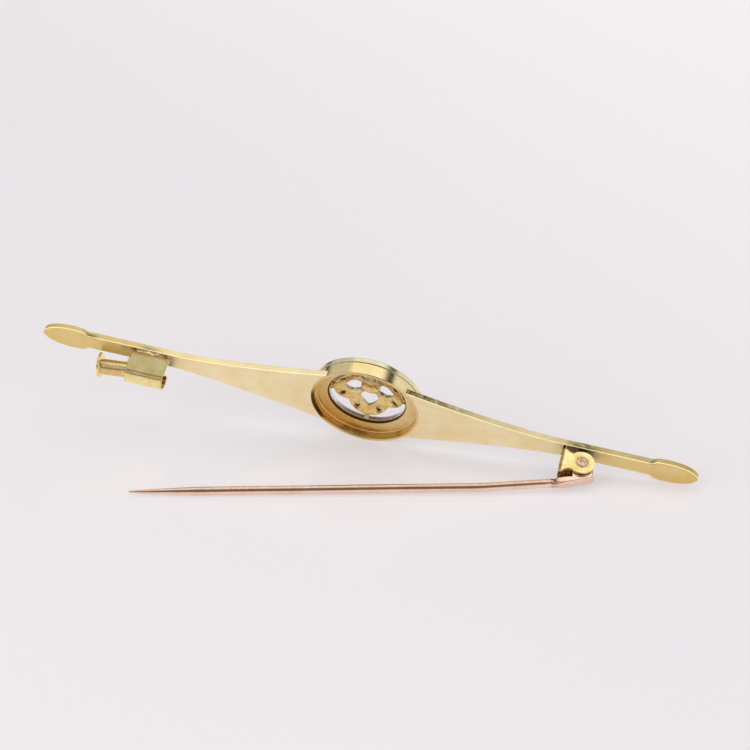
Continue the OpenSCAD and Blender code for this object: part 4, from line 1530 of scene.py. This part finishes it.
@dataclass
class TubeCatch:
    """A leaning wall of sheet rolled into an open sleeve, with a knobbed tube that slides in it."""

    near_x: float = -20.2
    length: float = 3.75
    sheet: float = 0.16
    root_y: float = 0.52
    lean: float = 34.0
    wall: float = 2.16
    roll: float = 0.98
    wrap: float = 195.0
    root_cut: float = 0.4
    root_lead: float = 0.4
    tube_radius: float = 0.8
    bore_radius: float = 0.6
    bore_floor: float = 0.3
    out: float = 2.62
    hold: float = 0.7
    end_gap: float = 0.12
    droop: float = 5.5
    droop_turn: float = 37.2
    knob_radius: float = 1.3
    knob_thickness: float = 0.36
    knob_offset: float = 0.14
    lumps: tuple[tuple[float, float, int, float], ...] = (
        (1.9, 0.34, 33, 0.85), (2.1, 0.36, 34, 2.35), (1.7, 0.3, 35, 3.75))

    def roll_centre(self) -> Array:
        """Middle of the roll, in y and z.

        Returns:
            Its y and z.
        """
        end = np.array([self.root_y, 0.0]) + self.wall * self.up_wall()
        return end - (self.roll + self.sheet) * self.off_wall()

    def up_wall(self) -> Array:
        """The direction up the leaning wall, in y and z."""
        return np.array([-math.sin(math.radians(self.lean)), math.cos(math.radians(self.lean))])

    def off_wall(self) -> Array:
        """The direction square to the leaning wall, away from the roll, in y and z."""
        return np.array([math.cos(math.radians(self.lean)), math.sin(math.radians(self.lean))])

    def sleeve(self) -> Shell:
        """The sleeve: a flat pattern carried up the leaning wall and round the roll.

        Returns:
            The sleeve's shell.
        """
        far = self.near_x - self.length
        last = self.wall + (self.roll + self.sheet / 2) * math.radians(self.wrap)
        foot = -0.32
        lead = self.near_x + self.root_lead
        loop = filleted([
            (foot, lead, 0.05), (foot, far + self.root_cut + 0.1, 0.05), (self.wall * 0.6, far, 0.1),
            (last, far, 0.15), (last, self.near_x, 0.15), (self.wall, self.near_x, 0.05),
            (0.0, lead, 0.05),
        ], steps=4)[::-1]
        shell = plate(divided(loop, longest=0.13), [], self.sheet, edge=0.03, spacing=0.11)
        return shell.mapped(self.rolled).with_tint_mask(self.sleeve_darkening)

    def wall_root(self) -> Array:
        """Where the middle of the wall's sheet meets the bar's back, in y and z."""
        return np.array([self.root_y, 0.0]) - self.sheet / 2 * self.off_wall()

    def rolled(self, p: Array) -> Array:
        """Carries distance along the sheet up the wall and round the roll.

        Up to the wall's end a point goes straight along the wall, and from there its angle
        grows by the distance over the roll's radius. A shallow crease marks the change.

        Args:
            p: Points of the flat pattern: distance along the sheet, x, and height in it.

        Returns:
            Points of the sleeve.
        """
        middle = self.roll + self.sheet / 2
        s, x = p[:, 0], p[:, 1]
        crease = -0.03 * bell(s, self.wall, 0.06) * (p[:, 2] > 0)
        h = (p[:, 2] + crease + 0.012 * ripple(p[:, :2], wave=1.8, seed=31))[:, None]
        turn = math.radians(self.lean) + np.clip(s - self.wall, 0, None) / middle
        out = np.stack([np.cos(turn), np.sin(turn)], axis=1)
        wall = self.wall_root() + s[:, None] * self.up_wall() + h * out
        roll = self.roll_centre() + (middle + h) * out
        return np.concatenate([x[:, None], np.where((s < self.wall)[:, None], wall, roll)], axis=1)

    def sleeve_darkening(self, p: Array) -> Array:
        """Darker inside the roll, along the crease and at the wall's foot.

        Args:
            p: Points of the sleeve.

        Returns:
            The darkening at each.
        """
        away = np.linalg.norm(p[:, 1:] - self.roll_centre(), axis=1)
        crease = near(p[:, 1:], self.wall_root() + self.wall * self.up_wall(), 0.07, (1, 1))
        return 0.9 * (away < self.roll + 0.04) + 0.9 * crease + ramp(p[:, 2], 0.4, 0)

    def solder(self) -> Shell:
        """Rough solder along the wall's root, in three overlapping lumps.

        Returns:
            The lumps as one shell.
        """
        start = self.near_x + self.root_lead + 0.15
        shell = None
        for length, radius, seed, along in self.lumps:
            place = [start - along, self.root_y + 0.06, -0.02]
            bead = lump(length, radius, seed, rows=50, cols=24)
            bead = bead.mapped(lambda p, at=place: p * [1, 0.95, 0.8] + at)
            shell = shell.joined(bead) if shell else bead
        return shell.with_tint_mask(lambda p: 0.15 + 0.6 * ripple(p, wave=0.7, seed=36))

    def drooped(self, p: Array) -> Array:
        """Points about the tube's outer end, tube along +z, put in place in the worn sleeve.

        They are laid along x, moved back from the pivot and turned about the pivot by the
        droop: p cos a + (v x p) sin a + v (v . p)(1 - cos a).

        Args:
            p: Points.

        Returns:
            The points in the brooch's axes.
        """
        turn, angle = math.radians(self.droop_turn), math.radians(self.droop)
        c, s = math.cos(angle), math.sin(angle)
        far = self.near_x - self.length
        pivot_x = far - (self.out - self.end_gap - self.hold) / 2
        back = (pivot_x - (far - self.out)) / c
        q = np.stack([p[:, 2] - back, p[:, 1], -p[:, 0]], axis=1)
        v = np.array([0.0, math.cos(turn), math.sin(turn)])
        q = q * c + np.cross(v, q) * s + (q @ v)[:, None] * v * (1 - c)
        return q + [pivot_x, *self.roll_centre()]

    def tube(self) -> Shell:
        """The sliding tube: a rounded wall profile, turned.

        Returns:
            The tube, with a painted reflection of the gold sleeve and bar, darker and more orange, on the
            side that faces the wall.
        """
        length = (self.out + self.hold) / math.cos(math.radians(self.droop))
        floor = self.bore_floor
        shell = turned(filleted([
            (self.bore_radius, floor, 0.02), (self.bore_radius, length, 0.04),
            (self.tube_radius, length, 0.05), (self.tube_radius, 0.0, 0.01),
            (0.0, 0.0, 0.0), (0.0, floor, 0.0),
        ], steps=4), segments=64)
        worn = 0.008 * ripple(shell.points * [1, 1, 2.0], wave=1.3, seed=41)[:, None]
        y, z = self.roll_centre()
        shell = shell.mapped(lambda p: self.drooped(p * (1 + worn * [1, 1, 0])))
        # Painted reflection of the gold sleeve and bar on the side that faces the wall.
        return shell.with_tint_mask(lambda p: 0.5 * (p[:, 1] < y + 0.7) * (p[:, 2] > z - 0.3))

    def knob(self) -> Shell:
        """The knob: a thin disc with a rounded rim and a dished end, turned off the tube's middle.

        Returns:
            The knob's shell.
        """
        t, r = self.knob_thickness, self.knob_radius
        profile = filleted([
            (0.0, 0.005, 0.0), (r - 0.3, 0.005, 0.1), (r - 0.03, -0.08, 0.05), (r, -t * 0.5, 0.06),
            (r - 0.04, -t, 0.06), (r - 0.32, -t, 0.05), (r - 0.4, -t * 0.62, 0.06), (0.0, -t * 0.62, 0.0),
        ], steps=4)
        turn = math.radians(self.droop_turn)
        shift = [self.knob_offset * math.cos(turn), self.knob_offset * math.sin(turn), 0]
        return turned(profile, segments=72).mapped(lambda p: self.drooped(p + shift))

    def build(self) -> None:
        """Makes the sleeve, its solder, the tube and the knob."""
        add_piece("catch_sleeve", self.sleeve(), Body.ROOT, SHEET_GOLD, Slot.YELLOW, ["gold_frame"])
        add_piece("catch_solder", self.solder(), Body.ROOT, SOLDER_GOLD, Slot.YELLOW, ["gold_frame"])
        for name, shell in (("slider_tube", self.tube()), ("slider_knob", self.knob())):
            add_piece(name, shell, Body.SLIDER, SHEET_GOLD, Slot.YELLOW, ["catch_slider"])


# The studio


@dataclass
class Studio:
    """A glossy pale floor, soft light all round and the camera of the photograph."""

    camera_place: Triple = (34.905, -178.208, 102.148)
    right: Triple = (0.98038, 0.19529, 0.02635)
    down: Triple = (0.11095, -0.43617, -0.89302)
    lens: float = 103.147
    sensor: float = 36.0
    floor_half: float = 1.5
    floor_steps: int = 9
    floor_tints: tuple[Colour, Colour] = ((174, 170, 173), (178, 174, 177))
    floor_light: Colour = (238, 234, 236)
    floor_glow: float = 0.465
    tilt: Triple = (-0.4, -0.12, 0.9)
    tent: tuple[tuple[float, float], ...] = (
        (0.0, 0.80), (0.16, 0.84), (0.25, 0.55), (0.31, 0.08), (0.43, 0.08), (0.5, 0.45),
        (0.6, 0.6), (1.0, 0.62))
    window_way: Triple = (0.02, 0.17, 0.985)
    window_edge: tuple[float, float] = (0.85, 0.91)
    window_light: Triple = (1.08, 1.07, 1.04)
    panel_front: Triple = (0.253, -0.967, 0.0)
    panel_front_edge: tuple[float, float] = (0.3, 0.5)
    panel_side: Triple = (0.967, 0.253, 0.0)
    panel_side_edge: tuple[float, float] = (0.32, 0.14)
    panel_light: Triple = (0.16, 0.15, 0.15)
    lamps: tuple[tuple[str, Triple, float, float], ...] = (
        ("ceiling", (-0.1, 0.4, 0.9), 1.2, 1.3),
        ("front_left", (-1.7, -1.87, 1.0), 2.5, 46.0),
        ("front_right", (1.7, -1.87, 1.0), 2.5, 42.0),
    )

    def camera(self) -> None:
        """Places the camera: its axes are right, up and back, measured from the photograph."""
        right = np.array(self.right) / np.linalg.norm(self.right)
        up = -np.array(self.down)
        up -= right * (up @ right)
        up /= np.linalg.norm(up)
        data = bpy.data.cameras.new("camera")
        data.lens = self.lens
        data.sensor_width = self.sensor
        data.clip_start = 0.005
        data.clip_end = 20
        camera = bpy.data.objects.new("camera", data)
        camera.matrix_world = placed([c * MM for c in self.camera_place], right, up, np.cross(right, up))
        bpy.context.scene.collection.objects.link(camera)
        bpy.context.scene.camera = camera

    def floor(self) -> None:
        """The floor: a wide flat grid of pale glossy sheet."""
        n = self.floor_steps
        u = np.linspace(-self.floor_half, self.floor_half, n)
        x, y = np.meshgrid(u, u, indexing="ij")
        points = np.stack([x, y, 0 * x], axis=-1).reshape(-1, 3)
        mesh = bpy.data.meshes.new("floor")
        mesh.from_pydata(points.tolist(), [], grid_faces(n, n).tolist())
        floor = bpy.data.objects.new("floor", mesh)
        bpy.context.scene.collection.objects.link(floor)
        mesh.materials.append(made_once("pale_gloss", self.floor_surface))

    def floor_surface(self, n: Nodes) -> Socket:
        """The floor's shader: pale, glossy and faintly glowing.

        Args:
            n: The material's nodes.

        Returns:
            The shader's output.
        """
        cloud = n.noise(n.add("TexCoord").outputs["Object"], 9.0, 2.0)
        colour = n.mixed(cloud, *[linear(tint) for tint in self.floor_tints])
        return n.add("BsdfPrincipled", {
            "Base Color": colour, "Roughness": 0.22, "IOR": 1.45,
            "Emission Color": linear(self.floor_light), "Emission Strength": self.floor_glow,
        }).outputs[0]

    def light(self, name: str, place: Triple, size: float, power: float) -> None:
        """A square soft light that faces the brooch and doesn't show in reflections.

        Args:
            name: Its name.
            place: Its middle, in metres.
            size: Its side, in metres.
            power: Its power, in watts.
        """
        data = bpy.data.lights.new(name, "AREA")
        data.size = size
        data.energy = power
        lamp = bpy.data.objects.new(name, data)
        lamp.visible_glossy = False
        back = np.array(place) / np.linalg.norm(place)
        side = np.cross([0, 1, 0], back)
        side /= np.linalg.norm(side)
        lamp.matrix_world = placed(place, side, np.cross(back, side), back)
        bpy.context.scene.collection.objects.link(lamp)

    def surround(self) -> None:
        """A tent of soft light with a dim gap, a bright window overhead and a dark panel in front.

        The height of a direction above a tilted horizon, the dot product of the two, goes
        through a ramp of greys. The window is laid over it where the direction lies close to
        its own. The panel is the dark shape of the camera: it is laid over where the direction
        looks to the front and hardly to the side.
        """
        world = bpy.data.worlds.new("tent")
        n = Nodes(world)
        place = n.add("TexCoord").outputs["Generated"]

        def dot(way: Triple) -> Socket:
            """Dot product of the direction with another of length one."""
            unit = [float(w) for w in np.array(way) / np.linalg.norm(way)]
            return n.add("VectorMath", {0: place, 1: unit}, operation="DOT_PRODUCT").outputs["Value"]

        def eased(value: Socket, start: float, end: float) -> Socket:
            """A value carried smoothly from 0 at its start to 1 at its end."""
            bounds = (value, min(start, end), max(start, end), float(start > end), float(end > start))
            return n.add("MapRange", dict(enumerate(bounds)), interpolation_type="SMOOTHSTEP").outputs[0]

        greys = n.add("ValToRGB", {0: dot(self.tilt)})
        stops = greys.color_ramp.elements
        while len(stops) < len(self.tent):
            stops.new(0.5)
        for stop, (height, grey) in zip(stops, self.tent):
            stop.position = height
            stop.color = (grey, grey * 0.99, grey, 1)
        window = eased(dot(self.window_way), *self.window_edge)
        light = n.mixed(window, greys.outputs[0], (*self.window_light, 1))
        panel = n.math("MULTIPLY", eased(dot(self.panel_front), *self.panel_front_edge),
                       eased(n.math("ABSOLUTE", dot(self.panel_side)), *self.panel_side_edge))
        light = n.mixed(panel, light, (*self.panel_light, 1))
        back = n.add("Background", {"Color": light})
        n.add("OutputWorld", {"Surface": back.outputs[0]})
        bpy.context.scene.world = world

    def build(self) -> None:
        """Makes the camera, the floor and the light."""
        self.camera()
        self.floor()
        self.surround()
        for lamp in self.lamps:
            self.light(*lamp)
        bpy.context.scene.view_settings.view_transform = "Standard"


def main() -> None:
    """Builds the studio and every sub-assembly."""
    logging.basicConfig(level=logging.INFO, format="%(name)s: %(message)s")
    Studio().build()
    for assembly in (Bar(), Medallion(), Hinge(), PinStem(), TubeCatch()):
        assembly.build()


if __name__ == "__main__":
    main()
